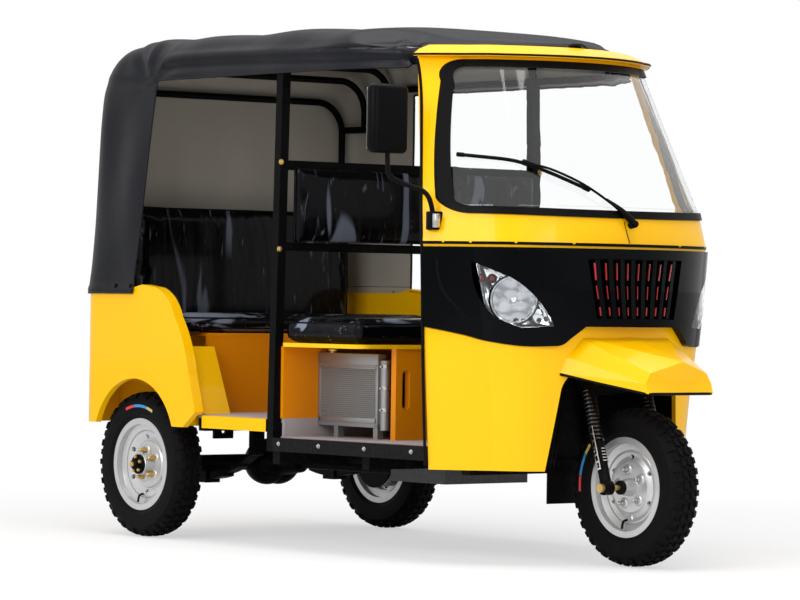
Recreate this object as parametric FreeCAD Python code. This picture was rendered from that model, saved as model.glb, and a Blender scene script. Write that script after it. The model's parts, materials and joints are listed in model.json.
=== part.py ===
"""Three-wheeled auto rickshaw with an open passenger cab and a fabric canopy.

Millimetres. X points forward, Y to the vehicle's left, Z up, and Z is 0 on the ground. While it is built,
X counts from the rear axle. store() then moves every piece by CENTRE_X, so that the origin lies on the
ground, on the centre plane, about under the middle of the overall length.
"""

import FreeCAD, Part
import math
import os
from FreeCAD import Vector

os.makedirs("parts", exist_ok=True)

# ---- running gear
WHEELBASE = 2010
TRACK = 1118
TYRE_RADIUS = 266
TYRE_WIDTH = 116
BEAD_RADIUS = 152
FLANGE_RADIUS = 168
RIM_WIDTH = 96
RIM_GAUGE = 5
AXLE_RADIUS = 20
FRONT_AXLE_RADIUS = 9
FRONT_HUB_HALF = 62
FRONT_DRUM_RADIUS = 88
REAR_DRUM_RADIUS = 106
DISC_HOLES = 6
DISC_HOLE_RADIUS = 9
DISC_HOLE_CIRCLE = 101
RUNNING_CLEARANCE = 0.05
SEAT_GAP = 0.3

# ---- front fork and steering
RAKE_DEG = 17
FORK_OFFSET = 40
FORK_HALF_SPACING = 130
FORK_LEG_RADIUS = 19
AXLE_NUT_LENGTH = 13
FORK_TOP_Z = 582
CROWN_HEIGHT = 30
STEM_RADIUS = 20
HEAD_TUBE_RADIUS = 34
HEAD_TUBE_LENGTH = 190
HANDLEBAR_Z = 1118
HANDLEBAR_HALF_WIDTH = 330
HANDLEBAR_SWEEP = 110
HANDLEBAR_RADIUS = 11

# ---- body
BODY_HALF_WIDTH = 650
BODY_WALL = 24
BODY_BOTTOM_Z = 413
BODY_TOP_Z = 905
TAIL_X = -345
TAIL_CORNER_RADIUS = 105
ARCH_X = 14
ARCH_Z = 324
ARCH_RADIUS = 256
FENDER_FLANGE = 34
FENDER_REACH = 150
WHEELHOUSE_TOP_Z = 618
WHEELHOUSE_INNER_Y = 486
GUSSET_TOP_Z = 702
DRIVER_FLOOR_Z = 398
FLOOR_THICKNESS = 15.7
PARTITION_X = 800
POST_SIZE = 35
POST_TOP_Z = 1676.7
SIDE_RAIL_Z = 1690
SEAT_BOARD_Z = 712
SEAT_BOARD_THICKNESS = 14
CUSHION_THICKNESS = 88
DRIVER_BOX_FRONT = PARTITION_X + 462
DRIVER_BOX_HALF = 430
BENCH_FRONT_X = 190
BACKREST_TOP_Z = 1235

# ---- nose, mask and windscreen
COWL_WALL = 18
COWL_TOP_Z = 1068
COWL_REAR_X = 1620
STRIP_HEIGHT = 10
MASK_TOP_Z = 1060
MASK_STAND = 10
MASK_NOSE_STAND = 46
GLASS_THICKNESS = 6
SEAL_WIDTH = 26
HEADER_TOP_Z = 1704
VISOR_LIP = 10
VISOR_TOP_Z = 1746
MUDGUARD_WALL = 8

# ---- canopy
CANOPY_TOP_Z = 1836
CANOPY_EDGE_Z = 1667
CANOPY_HEM_Z = 892
CANOPY_SKIRT_Z = 920  # below this the skirt hangs straight, outside the fenders
CANOPY_WALL = 8
CANOPY_GAP = 1
CANOPY_FRONT_INSET = 46
CHEEK_SLANT = (0.631, 0.776)  # plan direction in which the roof's front corners fall away
# height, inset of the rear face, inset of each side, growth of the corner radius, share of upward facing
CANOPY_LEVELS = (
    (CANOPY_SKIRT_Z, 0, 0, 0, 0),
    (1150, 9, 15, 0, 0),
    (1400, 13, 32, 5, 0),
    (1600, 13, 45, 2, 0),
    (1703, 46, 52, 2, 0.3),
    (1755, 94, 63, 0, 0.6),
    (1798, 168, 92, 0, 0.8),
    (1819, 248, 134, 0, 1),
    (1830, 324, 229, 0, 1),
    (CANOPY_TOP_Z, 420, 409, 0, 1),
)
BOW_RADIUS = 13
REAR_HOOP_HALF = 544

# ---- chassis
RAIL_HALF_SPACING = 270
RAIL_WIDTH = 40
RAIL_HEIGHT = 45
RAIL_FRONT_Z = 300
RAIL_REAR_Z = 400
RAIL_FRONT_END = 1700
TOW_PLATE = 12
TOW_HOLE_RADIUS = 11
TOW_HOLE_Z = 370
PLATE_HOLE_SPACING = 150
PLATE_HOLE_RADIUS = 3.5
PLATE_HOLE_Z = 560
ENGINE_SIZE = (300, 380, 360)
ENGINE_X = PARTITION_X + 120
ENGINE_Z = 240
ENGINE_Y = 20
LEAF_SPRING_Y = 300

PASSENGER_FLOOR_Z = RAIL_REAR_Z + RAIL_HEIGHT + 16
CENTRE_X = 949.5

# Plan of the nose at several heights, from its rear edge to the centre line:
# z, rear x, rear y, shoulder x, shoulder y, corner x, corner y, nose x
NOSE_SECTIONS = (
    (318, 1620, 575, 1775, 427, 1886, 303, 1948),
    (574, 1620, 590, 1783, 446, 1896, 328, 1962),
    (750, 1620, 600, 1781, 476, 1898, 359, 1974),
    (920, 1620, 609, 1775, 498, 1895, 386, 1980),
    (1080, 1620, 615, 1770, 518, 1893, 403, 1980),
    (1200, 1586, 594, 1742, 510, 1866, 388, 1953),
    (1460, 1513, 547, 1652, 451, 1759, 338, 1845),
    (1704, 1443, 501, 1566, 396, 1658, 292, 1744),
)
NOSE_NORMALS = ((0.42, 0.91), (0.53, 0.85), (0.80, 0.60), (1.0, 0.0))
SIDE_BULGE = 6
CORNER_BULGE = 14


# ---- drawing helpers
def xy(z):
    return lambda x, y: Vector(x, y, z)


def xz(y):
    return lambda x, z: Vector(x, y, z)


def yz(x):
    return lambda y, z: Vector(x, y, z)


def outline(place, start, *steps):
    """A closed wire. A step is a point for a line, or (through, end) for an arc."""
    edges = []
    here = start
    for step in steps + (start,):
        if isinstance(step[0], tuple):
            through, end = step
            edges.append(Part.Arc(place(*here), place(*through), place(*end)).toShape())
            here = end
        elif step != here:
            edges.append(Part.LineSegment(place(*here), place(*step)).toShape())
            here = step
    return Part.Wire(edges)


def prism(wire, along):
    return Part.Face(wire).extrude(along)


def block(x0, x1, y0, y1, z0, z1):
    return Part.makeBox(x1 - x0, y1 - y0, z1 - z0, Vector(x0, y0, z0))


def rod(start, end, radius):
    a = Vector(*start)
    along = Vector(*end) - a
    return Part.makeCylinder(radius, along.Length, a, along)


def across(radius, x, y0, y1, z):
    """A round bar along Y."""
    return Part.makeCylinder(radius, y1 - y0, Vector(x, y0, z), Vector(0, 1, 0))


def turned(start, *steps):
    """A solid of revolution about the Y axis; its outline is in (radius, y)."""
    face = Part.Face(outline(xy(0), start, *steps))
    return face.revolve(Vector(0, 0, 0), Vector(0, 1, 0), 360)


def mirrored(shape):
    return shape.mirror(Vector(0, 0, 0), Vector(0, 1, 0))


def fused(shapes):
    shapes = list(shapes)
    if len(shapes) == 1:
        return shapes[0]
    return shapes[0].multiFuse(shapes[1:]).removeSplitter()


def tube_along(points, radius, bend):
    """A round bar along straight runs joined by tangent arcs."""
    corners = [Vector(*p) for p in points]
    edges = []
    here = corners[0]
    for before, corner, after in zip(corners, corners[1:], corners[2:]):
        back = (before - corner).normalize()
        ahead = (after - corner).normalize()
        half = back.getAngle(ahead) / 2
        reach = bend / math.tan(half)
        middle = (back + ahead).normalize() * (bend / math.sin(half) - bend)
        start = corner + back * reach
        end = corner + ahead * reach
        edges.append(Part.LineSegment(here, start).toShape())
        edges.append(Part.Arc(start, corner + middle, end).toShape())
        here = end
    edges.append(Part.LineSegment(here, corners[-1]).toShape())
    path = Part.Wire(edges)
    circle = Part.Wire([Part.Circle(corners[0], corners[1] - corners[0], radius).toShape()])
    return path.makePipeShell([circle], True, False)


def store(name, *solids):
    shape = solids[0] if len(solids) == 1 else Part.Compound(list(solids))
    shape = shape.copy()
    shape.translate(Vector(-CENTRE_X, 0, 0))
    print(name, len(shape.Solids), "solids", "valid" if shape.isValid() else "INVALID")
    shape.exportStep("parts/" + name + ".step")


# ---- nose surface
def nose_points(z, stand=0, nose_stand=None):
    """Rear, shoulder, corner and nose of the plan outline at height z, moved out by stand."""
    for low, high in zip(NOSE_SECTIONS, NOSE_SECTIONS[1:]):
        if z <= high[0]:
            break
    share = (z - low[0]) / (high[0] - low[0])
    row = [a + (b - a) * share for a, b in zip(low[1:], high[1:])] + [0]
    stands = (stand, stand, stand, stand if nose_stand is None else nose_stand)
    points = []
    for i, (normal, out) in enumerate(zip(NOSE_NORMALS, stands)):
        points.append((row[2 * i] + normal[0] * out, row[2 * i + 1] + normal[1] * out))
    return points


def bulged(a, b, height):
    """The middle of the chord a-b, moved out from the body's centre by height."""
    along = (b[0] - a[0], b[1] - a[1])
    length = math.hypot(*along)
    normal = (-along[1] / length, along[0] / length)
    if normal[0] < 0:
        normal = (-normal[0], -normal[1])
    return ((a[0] + b[0]) / 2 + normal[0] * height, (a[1] + b[1]) / 2 + normal[1] * height)


def nose_wire(z, stand=0, nose_stand=None, back=0):
    rear, shoulder, corner, nose = nose_points(z, stand, nose_stand)

    def right(point):
        return (point[0], -point[1])

    side_mid = bulged(shoulder, rear, SIDE_BULGE)
    corner_mid = bulged(corner, shoulder, CORNER_BULGE)
    steps = [
        (side_mid, shoulder),
        (corner_mid, corner),
        (nose, right(corner)),
        (right(corner_mid), right(shoulder)),
        (right(side_mid), right(rear)),
    ]
    if back:
        steps.append((rear[0] - back, -rear[1]))
        steps.append((rear[0] - back, rear[1]))
    return outline(xy(z), rear, *steps)


def nose_solid(heights, stand=0, nose_stand=None, back=0):
    return Part.makeLoft([nose_wire(z, stand, nose_stand, back) for z in heights], True, True)


# ---- wheels
def make_tyre():
    half = TYRE_WIDTH / 2
    bead = RIM_WIDTH / 2 - RIM_GAUGE
    return turned(
        (BEAD_RADIUS, -bead),
        (FLANGE_RADIUS + 2, -bead),
        ((TYRE_RADIUS - 58, -half), (TYRE_RADIUS - 18, -half + 8)),
        ((TYRE_RADIUS - 5, -half + 14), (TYRE_RADIUS - 2, -half + 24)),
        ((TYRE_RADIUS, 0), (TYRE_RADIUS - 2, half - 24)),
        ((TYRE_RADIUS - 5, half - 14), (TYRE_RADIUS - 18, half - 8)),
        ((TYRE_RADIUS - 58, half), (FLANGE_RADIUS + 2, bead)),
        (BEAD_RADIUS, bead),
        (BEAD_RADIUS, bead - 10),
        ((TYRE_RADIUS - 58, half - 12), (TYRE_RADIUS - 18, 0)),
        ((TYRE_RADIUS - 58, 12 - half), (BEAD_RADIUS, 10 - bead)),
    )


def rim_band():
    """The rim's hollow drop-centre section, open at the middle."""
    edge = RIM_WIDTH / 2
    seat = edge - RIM_GAUGE
    inner = BEAD_RADIUS - RIM_GAUGE
    return turned(
        (FLANGE_RADIUS, -edge),
        (FLANGE_RADIUS, -seat),
        (BEAD_RADIUS, -seat),
        (BEAD_RADIUS, -24),
        (130, -17),
        (130, 17),
        (BEAD_RADIUS, 24),
        (BEAD_RADIUS, seat),
        (FLANGE_RADIUS, seat),
        (FLANGE_RADIUS, edge),
        (inner, edge),
        (inner, 26),
        (130 - RIM_GAUGE, 19),
        (130 - RIM_GAUGE, -19),
        (inner, -26),
        (inner, -edge),
    )


def wheel_disc(face_y):
    """Dished disc whose outer face looks towards -Y."""
    return turned(
        (126, 16),
        (126, -14),
        ((122, -19), (116, -20)),
        (104, -16),
        (88, face_y + 4),
        (84, face_y),
        (26, face_y),
        (26, face_y + RIM_GAUGE),
        (82, face_y + RIM_GAUGE),
        (98, -9),
        (110, -10),
        (120, -8),
        (120, 16),
    )


def drilled(disc):
    cutters = []
    for i in range(DISC_HOLES):
        angle = 2 * math.pi * (i + 0.5) / DISC_HOLES
        x = DISC_HOLE_CIRCLE * math.cos(angle)
        z = DISC_HOLE_CIRCLE * math.sin(angle)
        cutters.append(Part.makeCylinder(DISC_HOLE_RADIUS, 120, Vector(x, -60, z), Vector(0, 1, 0)))
    return disc.cut(Part.Compound(cutters))


def front_rim():
    disc = drilled(wheel_disc(-26))
    bore = FRONT_AXLE_RADIUS + RUNNING_CLEARANCE
    hub = turned(
        (bore, -FRONT_HUB_HALF),
        (24, -FRONT_HUB_HALF),
        (30, -26 - RIM_GAUGE),
        (30, -26 + RIM_GAUGE),
        (FRONT_DRUM_RADIUS, 0),
        (FRONT_DRUM_RADIUS, 40),
        (24, 44),
        (24, FRONT_HUB_HALF),
        (bore, FRONT_HUB_HALF),
    )
    return fused([rim_band(), disc, hub])


def placed(shape, x, y):
    shape = shape.copy()
    shape.translate(Vector(x, y, TYRE_RADIUS))
    return shape


def make_front_wheel():
    store("front_tyre", placed(make_tyre(), WHEELBASE, 0))
    store("front_rim", placed(front_rim(), WHEELBASE, 0))


def make_rear_wheels():
    disc = drilled(wheel_disc(-12))
    bore = AXLE_RADIUS + RUNNING_CLEARANCE
    hub = turned(
        (0, -52),
        (34, -52),
        (38, -48),
        (44, -12),
        (REAR_DRUM_RADIUS, -6),
        (REAR_DRUM_RADIUS, 58),
        (REAR_DRUM_RADIUS - 8, 58),
        (REAR_DRUM_RADIUS - 8, 4),
        (46, 2),
        (46, 40),
        (bore, 40),
        (bore, -30),
        (0, -30),
    )
    rim = fused([rim_band(), disc, hub])
    for side, sign in (("right", -1), ("left", 1)):
        y = sign * TRACK / 2
        pieces = [("tyre", make_tyre()), ("rim", rim)]
        for piece, shape in pieces:
            if sign > 0:
                shape = mirrored(shape)
            store("rear_" + piece + "_" + side, placed(shape, 0, y))


# ---- steering
RAKE = math.radians(RAKE_DEG)
STEER_UP = Vector(-math.sin(RAKE), 0, math.cos(RAKE))
STEER_FORWARD = Vector(math.cos(RAKE), 0, math.sin(RAKE))
AXLE_POINT = Vector(WHEELBASE, 0, TYRE_RADIUS)
STEER_FOOT = AXLE_POINT - STEER_FORWARD * FORK_OFFSET


def on_steer_axis(z):
    return STEER_FOOT + STEER_UP * ((z - STEER_FOOT.z) / STEER_UP.z)


def on_leg(z, y):
    point = AXLE_POINT + STEER_UP * ((z - AXLE_POINT.z) / STEER_UP.z)
    return Vector(point.x, y, z)


CROWN_AT_LEG_Z = FORK_TOP_Z + FORK_OFFSET * math.sin(RAKE)


def make_fork():
    half = FORK_HALF_SPACING
    legs = []
    for y in (-half, half):
        foot = on_leg(TYRE_RADIUS - 4, y)
        knee = on_leg(TYRE_RADIUS + 150, y)
        top = on_leg(CROWN_AT_LEG_Z + 10, y)
        lower = rod(foot, knee, FORK_LEG_RADIUS)
        upper = rod(on_leg(TYRE_RADIUS + 120, y), top, FORK_LEG_RADIUS - 6)
        boss = across(24, WHEELBASE, y - 16, y + 16, TYRE_RADIUS)
        bore = across(FRONT_AXLE_RADIUS + 0.1, WHEELBASE, y - 30, y + 30, TYRE_RADIUS)
        legs += [boss.fuse(lower).cut(bore), upper]
    crown_centre = on_steer_axis(FORK_TOP_Z)
    plate = outline(
        lambda u, v: crown_centre + STEER_FORWARD * u + Vector(0, v, 0),
        (-42, -40),
        ((-52, 0), (-42, 40)),
        (20, half + 24),
        ((FORK_OFFSET + 24, half + 12), (FORK_OFFSET + 20, half - 20)),
        (FORK_OFFSET - 4, 40),
        (FORK_OFFSET - 4, -40),
        (FORK_OFFSET + 20, 20 - half),
        ((FORK_OFFSET + 24, -half - 12), (20, -half - 24)),
    )
    crown = prism(plate, STEER_UP * CROWN_HEIGHT)
    stem_top = on_steer_axis(HANDLEBAR_Z - 14)
    stem = rod(crown_centre, stem_top, STEM_RADIUS)
    return fused([crown, stem] + legs)


def make_fork_springs():
    springs = []
    for y in (-FORK_HALF_SPACING, FORK_HALF_SPACING):
        low = on_leg(TYRE_RADIUS + 156, y)
        high = on_leg(CROWN_AT_LEG_Z - SEAT_GAP, y)
        length = (high - low).Length
        outer = Part.makeCylinder(FORK_LEG_RADIUS + 3, length, low, STEER_UP)
        inner = Part.makeCylinder(FORK_LEG_RADIUS - 5.5, length, low, STEER_UP)
        springs.append(outer.cut(inner))
    return springs


def make_handlebar():
    centre = on_steer_axis(HANDLEBAR_Z)
    x, z = centre.x, centre.z
    half = HANDLEBAR_HALF_WIDTH
    sweep = HANDLEBAR_SWEEP
    bar = tube_along(
        [
            (x - sweep, -half, z + 8),
            (x - sweep + 18, -half + 130, z + 12),
            (x, -95, z),
            (x, 95, z),
            (x - sweep + 18, half - 130, z + 12),
            (x - sweep, half, z + 8),
        ],
        HANDLEBAR_RADIUS,
        34,
    )
    clamp = block(x - 26, x + 26, -34, 34, z - 16, z + 16)
    stem_cut = rod(on_steer_axis(HANDLEBAR_Z - 60), on_steer_axis(HANDLEBAR_Z - 13.9), STEM_RADIUS)
    grips = []
    for sign in (-1, 1):
        end = Vector(x - sweep, sign * half, z + 8)
        start = Vector(x - sweep + 18, sign * (half - 130), z + 12)
        along = (end - start).normalize()
        first = end - along * 112
        outer = Part.makeCylinder(17, 114, first, along)
        inner = Part.makeCylinder(HANDLEBAR_RADIUS + 0.1, 112, first, along)
        grips.append(outer.cut(inner))
    return fused([bar, clamp.cut(stem_cut)]), grips


def make_steering():
    store("fork", make_fork())
    store("fork_springs", *make_fork_springs())
    nut_face = FORK_HALF_SPACING + FORK_LEG_RADIUS + SEAT_GAP
    half = nut_face + AXLE_NUT_LENGTH
    axle = across(FRONT_AXLE_RADIUS, WHEELBASE, -half, half, TYRE_RADIUS)
    nuts = [across(15, WHEELBASE, y, y + AXLE_NUT_LENGTH, TYRE_RADIUS) for y in (-half, nut_face)]
    store("front_axle", fused([axle] + nuts))
    bar, grips = make_handlebar()
    store("handlebar", bar)
    store("handlebar_grips", *grips)


# ---- chassis
def make_chassis():
    low, high, tall = RAIL_FRONT_Z, RAIL_REAR_Z, RAIL_HEIGHT
    rear_end = TAIL_X + BODY_WALL + SEAT_GAP
    side = outline(
        xz(0),
        (rear_end, high),
        (400, high),
        (560, low),
        (RAIL_FRONT_END, low),
        (RAIL_FRONT_END, low + tall),
        (575, low + tall),
        (415, high + tall),
        (rear_end, high + tall),
    )
    rails = []
    for y in (-RAIL_HALF_SPACING - RAIL_WIDTH / 2, RAIL_HALF_SPACING - RAIL_WIDTH / 2):
        rail = prism(side, Vector(0, RAIL_WIDTH, 0))
        rail.translate(Vector(0, y, 0))
        rails.append(rail)
    # rear face of the cross member, its bottom, its half-length
    members = (
        (rear_end, high, 470),
        (325, high, 580),
        (PARTITION_X - 25, low, 585),
        (ENGINE_X + ENGINE_SIZE[0] + SEAT_GAP, low, 540),
        (RAIL_FRONT_END - RAIL_WIDTH, low, 465),
    )
    crosses = [block(x, x + RAIL_WIDTH, -half, half, z, z + tall) for x, z, half in members]
    head_low = on_steer_axis(FORK_TOP_Z + CROWN_HEIGHT + 4)
    head_high = head_low + STEER_UP * HEAD_TUBE_LENGTH
    head = rod(head_low, head_high, HEAD_TUBE_RADIUS)
    necks = []
    for sign in (-1, 1):
        path = [(RAIL_FRONT_END - 8, sign * 105, low + 22), (1722, sign * 62, 668), (1826, sign * 16, 722)]
        necks.append(tube_along(path, 18, 40))
    bore = rod(head_low - STEER_UP, head_high + STEER_UP, STEM_RADIUS + RUNNING_CLEARANCE)
    tow_plate = block(rear_end, rear_end + TOW_PLATE, -45, 45, high - 60, high)
    tow_hole = Part.makeCylinder(TOW_HOLE_RADIUS, 40, Vector(rear_end - 10, 0, TOW_HOLE_Z), Vector(1, 0, 0))
    return fused(rails + crosses + [head] + necks + [tow_plate]).cut(bore).cut(tow_hole)


def make_floor():
    low = PASSENGER_FLOOR_Z - FLOOR_THICKNESS
    wide = block(322, PARTITION_X + 34, -582, 582, low, PASSENGER_FLOOR_Z)
    tongue = block(120, 322, -470, 470, low, PASSENGER_FLOOR_Z)
    riser = block(PARTITION_X + 22, PARTITION_X + 34, -582, 582, DRIVER_FLOOR_Z + SEAT_GAP, low)
    post_gap = block(PARTITION_X - 20, PARTITION_X + 19, 560, 700, 300, 500)
    store("passenger_floor", fused([wide, tongue, riser]).cut(post_gap).cut(mirrored(post_gap)))
    low = RAIL_FRONT_Z + RAIL_HEIGHT + SEAT_GAP
    plan = outline(
        xy(low),
        (PARTITION_X + 20, -586),
        (COWL_REAR_X - 4, -548),
        (1660, -500),
        (1660, 500),
        (COWL_REAR_X - 4, 548),
        (PARTITION_X + 20, 586),
    )
    slab = prism(plan, Vector(0, 0, DRIVER_FLOOR_Z - low))
    half = ENGINE_SIZE[1] / 2 + 6
    well = block(ENGINE_X - 6, ENGINE_X + ENGINE_SIZE[0] + 6, ENGINE_Y - half, ENGINE_Y + half, 300, 500)
    store("driver_floor", slab.cut(well))


def make_sills():
    front = PARTITION_X - POST_SIZE / 2 - 1
    rear = block(400, front, -622, -582.3, BODY_BOTTOM_Z, PASSENGER_FLOOR_Z - 4)
    low = RAIL_FRONT_Z + RAIL_HEIGHT + 2
    end = COWL_REAR_X - 2.3
    foot = outline(
        xy(low),
        (PARTITION_X + POST_SIZE / 2 + 1, -622),
        (end, -592),
        (end, -549),
        (PARTITION_X + POST_SIZE / 2 + 1, -587),
    )
    fore = prism(foot, Vector(0, 0, DRIVER_FLOOR_Z - low - 4))
    store("sills", rear, mirrored(rear), fore, mirrored(fore))


# ---- rear body
def tail_block(inset, z0, z1, front_x):
    """The rear body's plan outline, moved in by inset, between two heights."""
    half = BODY_HALF_WIDTH - inset
    radius = TAIL_CORNER_RADIUS - inset
    rear = TAIL_X + inset
    turn = radius * (1 - math.sqrt(0.5))
    wire = outline(
        xy(z0),
        (front_x, -half),
        (rear + radius, -half),
        ((rear + turn, -half + turn), (rear, -half + radius)),
        (rear, half - radius),
        ((rear + turn, half - turn), (rear + radius, half)),
        (front_x, half),
    )
    return prism(wire, Vector(0, 0, z1 - z0))


FENDER_FRONT = (
    # the fender's front edge from its foot up to the top: x, z
    (396, 470),
    (353, 604),
    (262, 809),
    (213, 878),
    (145, 913),
)


def fender_side(inset, extra=0):
    foot, low, mid, high, top = FENDER_FRONT
    return outline(
        xz(-BODY_HALF_WIDTH - 5),
        (TAIL_X - 5 + inset, BODY_BOTTOM_Z - extra),
        (322 - inset, BODY_BOTTOM_Z - extra),
        (foot[0] - inset, foot[1]),
        (low[0] - inset, low[1]),
        ((325 - inset, 700), (mid[0] - inset, mid[1])),
        ((high[0] - inset, high[1]), (top[0] - inset, top[1] - inset)),
        (60 - inset, BODY_TOP_Z + 18 - inset),
        (-40, BODY_TOP_Z - inset),
        (TAIL_X - 5 + inset, BODY_TOP_Z - inset),
    )


def make_rear_body():
    shell = tail_block(0, BODY_BOTTOM_Z, BODY_TOP_Z + 30, 420)
    ring = shell.cut(tail_block(BODY_WALL, BODY_BOTTOM_Z - 1, BODY_TOP_Z + 31, 421))
    panel = ring.common(prism(fender_side(0), Vector(0, FENDER_REACH, 0)))
    flange = prism(fender_side(0), Vector(0, FENDER_FLANGE + 10, 0))
    flange = flange.cut(prism(fender_side(6, 40), Vector(0, 150, 0)))
    flange = flange.common(block(40, 420, -BODY_HALF_WIDTH, 0, BODY_BOTTOM_Z + 2, BODY_TOP_Z + 30))
    arch = across(ARCH_RADIUS, ARCH_X, -BODY_HALF_WIDTH - 50, -BODY_HALF_WIDTH + 150, ARCH_Z)
    right = fused([panel, flange]).cut(arch)
    store("rear_fender_right", right)
    store("rear_fender_left", mirrored(right))
    # the fenders take in the rear corners; the tail panel fills what lies between them
    half = BODY_HALF_WIDTH + 5 - FENDER_REACH
    tail = ring.common(block(TAIL_X - 1, TAIL_X + BODY_WALL, -half, half, 0, BODY_TOP_Z))
    holes = []
    for y in (-PLATE_HOLE_SPACING / 2, PLATE_HOLE_SPACING / 2):
        start = Vector(TAIL_X - 20, y, PLATE_HOLE_Z)
        holes.append(Part.makeCylinder(PLATE_HOLE_RADIUS, 80, start, Vector(1, 0, 0)))
    store("tail_panel", tail.cut(Part.Compound(holes)))


def make_wheelhouses():
    top, inner = WHEELHOUSE_TOP_Z, WHEELHOUSE_INNER_Y
    outer = BODY_HALF_WIDTH
    low = BODY_BOTTOM_Z + 4
    arch = outline(
        xz(-outer),
        (-318, low),
        (-306, low),
        (-306, top - 60),
        (-240, top - 12),
        (250, top - 12),
        (300, low),
        (312, low),
        (262, top),
        (-246, top),
        (-318, top - 52),
    )
    wall = outline(xz(-inner), (-318, low), (312, low), (262, top), (-246, top), (-318, top - 52))
    house = fused([prism(arch, Vector(0, outer - inner, 0)), prism(wall, Vector(0, 12, 0))])
    house = house.common(tail_block(BODY_WALL + SEAT_GAP, 0, 1000, 420))
    floor = PASSENGER_FLOOR_Z + SEAT_GAP
    plate = outline(xz(-outer), (372, floor), (268, GUSSET_TOP_Z), (262, GUSSET_TOP_Z), (366, floor))
    cheek = outline(
        xz(-inner),
        (304, floor),
        (372, floor),
        (268, GUSSET_TOP_Z),
        (246, GUSSET_TOP_Z),
        (246, top - 6),
    )
    gusset = fused([prism(plate, Vector(0, outer - inner, 0)), prism(cheek, Vector(0, 12, 0))])
    gusset = gusset.common(tail_block(FENDER_FLANGE + BODY_WALL, 0, 1000, 420))
    house = house.fuse(gusset)
    axle_gap = across(118, 0, -inner - 10, -inner + 30, TYRE_RADIUS)
    slot = block(-118, 118, -inner - 10, -inner + 30, TYRE_RADIUS - 10, TYRE_RADIUS + 150)
    right = house.cut(axle_gap).cut(slot)
    store("rear_wheelhouses", right, mirrored(right))


def make_passenger_seat():
    board_z = SEAT_BOARD_Z + 26
    riser = block(BENCH_FRONT_X + 18, BENCH_FRONT_X + 34, -470, 470, PASSENGER_FLOOR_Z, board_z)
    board = block(-300, BENCH_FRONT_X + 36, -470, 470, board_z, board_z + 12)
    store("bench_base", fused([riser, board]))
    low = board_z + 12 + SEAT_GAP
    store("passenger_cushion", rounded_pad(-172, BENCH_FRONT_X + 44, -600, 600, low, low + 72, 30))
    half = REAR_HOOP_HALF - BOW_RADIUS - 2
    back_side = outline(
        xz(-half),
        (-262, low),
        (-181, low),
        ((-190, 960), (-216, 1150)),
        ((-226, BACKREST_TOP_Z - 6), (-250, BACKREST_TOP_Z)),
        (-312, BACKREST_TOP_Z),
    )
    store("passenger_backrest", prism(back_side, Vector(0, 2 * half, 0)))


def rounded_pad(x0, x1, y0, y1, z0, z1, radius):
    """A cushion with rounded upright corners."""
    turn = radius * (1 - math.sqrt(0.5))
    wire = outline(
        xy(z0),
        (x0 + radius, y0),
        (x1 - radius, y0),
        ((x1 - turn, y0 + turn), (x1, y0 + radius)),
        (x1, y1 - radius),
        ((x1 - turn, y1 - turn), (x1 - radius, y1)),
        (x0 + radius, y1),
        ((x0 + turn, y1 - turn), (x0, y1 - radius)),
        (x0, y0 + radius),
        ((x0 + turn, y0 + turn), (x0 + radius, y0)),
    )
    return prism(wire, Vector(0, 0, z1 - z0))


def make_driver_seat():
    back_x = PARTITION_X + POST_SIZE / 2 + 1
    store("partition_panel", block(back_x, back_x + 14, -588, 588, PASSENGER_FLOOR_Z, SEAT_BOARD_Z))
    front, half = DRIVER_BOX_FRONT, DRIVER_BOX_HALF
    panel = block(front - 26, front, -half, half, DRIVER_FLOOR_Z, SEAT_BOARD_Z)
    slot = prism(
        outline(
            yz(front - 30),
            (-402, 520),
            ((-385, 503), (-368, 520)),
            (-368, 622),
            ((-385, 639), (-402, 622)),
        ),
        Vector(40, 0, 0),
    )
    side = block(back_x + 60, front - 26, half - 14, half, DRIVER_FLOOR_Z, SEAT_BOARD_Z)
    board_top = SEAT_BOARD_Z + SEAT_BOARD_THICKNESS
    board = rounded_pad(back_x, front + 8, -612, 612, SEAT_BOARD_Z, board_top, 60)
    store("driver_seat_base", fused([panel.cut(slot), side, board]))
    low = board_top + SEAT_GAP
    store("driver_cushion", rounded_pad(back_x + 6, front + 14, -610, 610, low, low + CUSHION_THICKNESS, 62))


def make_radiator():
    x0, x1 = PARTITION_X + 36, PARTITION_X + 366
    y0, y1 = -432, -398
    core = block(x0 + 14, x1 - 14, y0 + 3, y1 - 3, 470, 640)
    frame = block(x0, x1, y0, y1, 438, 690).cut(block(x0 + 14, x1 - 14, y0 - 1, y1 + 1, 470, 640))
    tank = Part.makeCylinder(17, 240, Vector(x1 + 20, -415, 430), Vector(0, 0, 1))
    link = block(x1 - 2, x1 + 10, -424, -406, 450, 660)
    feet = [block(x - 12, x + 12, -428, -402, DRIVER_FLOOR_Z, 440) for x in (x0 + 94, x1 - 16)]
    store("radiator", fused([frame, core, tank, link] + feet))


def make_partition():
    half = POST_SIZE / 2
    posts = []
    for sign in (-1, 1):
        corners = ((-half, -half), (half, -half), (half, half), (-half, half))
        low = [(PARTITION_X + dx, sign * 603 + dy) for dx, dy in corners]
        high = [(x, y - sign * 24) for x, y in low]
        wires = [
            outline(xy(345.3), *low),
            outline(xy(POST_TOP_Z), *high),
        ]
        posts.append(Part.makeLoft(wires, True, True))
    bars = []
    for z, tall in ((1330, 33), (1046, 30)):
        y = 603 - 24 * (z - 345) / 1319
        bars.append(block(PARTITION_X - 14, PARTITION_X + 14, -y, y, z, z + tall))
    store("partition_frame", fused(posts + bars))
    pad_front = PARTITION_X + 16.5
    pad = rounded_pad(PARTITION_X + 14.3, pad_front + 40, -565, 565, 1062, 1352, 14)
    store("driver_backrest", pad)


# ---- engine and rear axle
def make_engine():
    length, width, height = ENGINE_SIZE
    low_y = ENGINE_Y - width / 2
    high_y = low_y + width
    store("engine_block", block(ENGINE_X, ENGINE_X + length, low_y, high_y, ENGINE_Z, ENGINE_Z + height))


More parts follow.
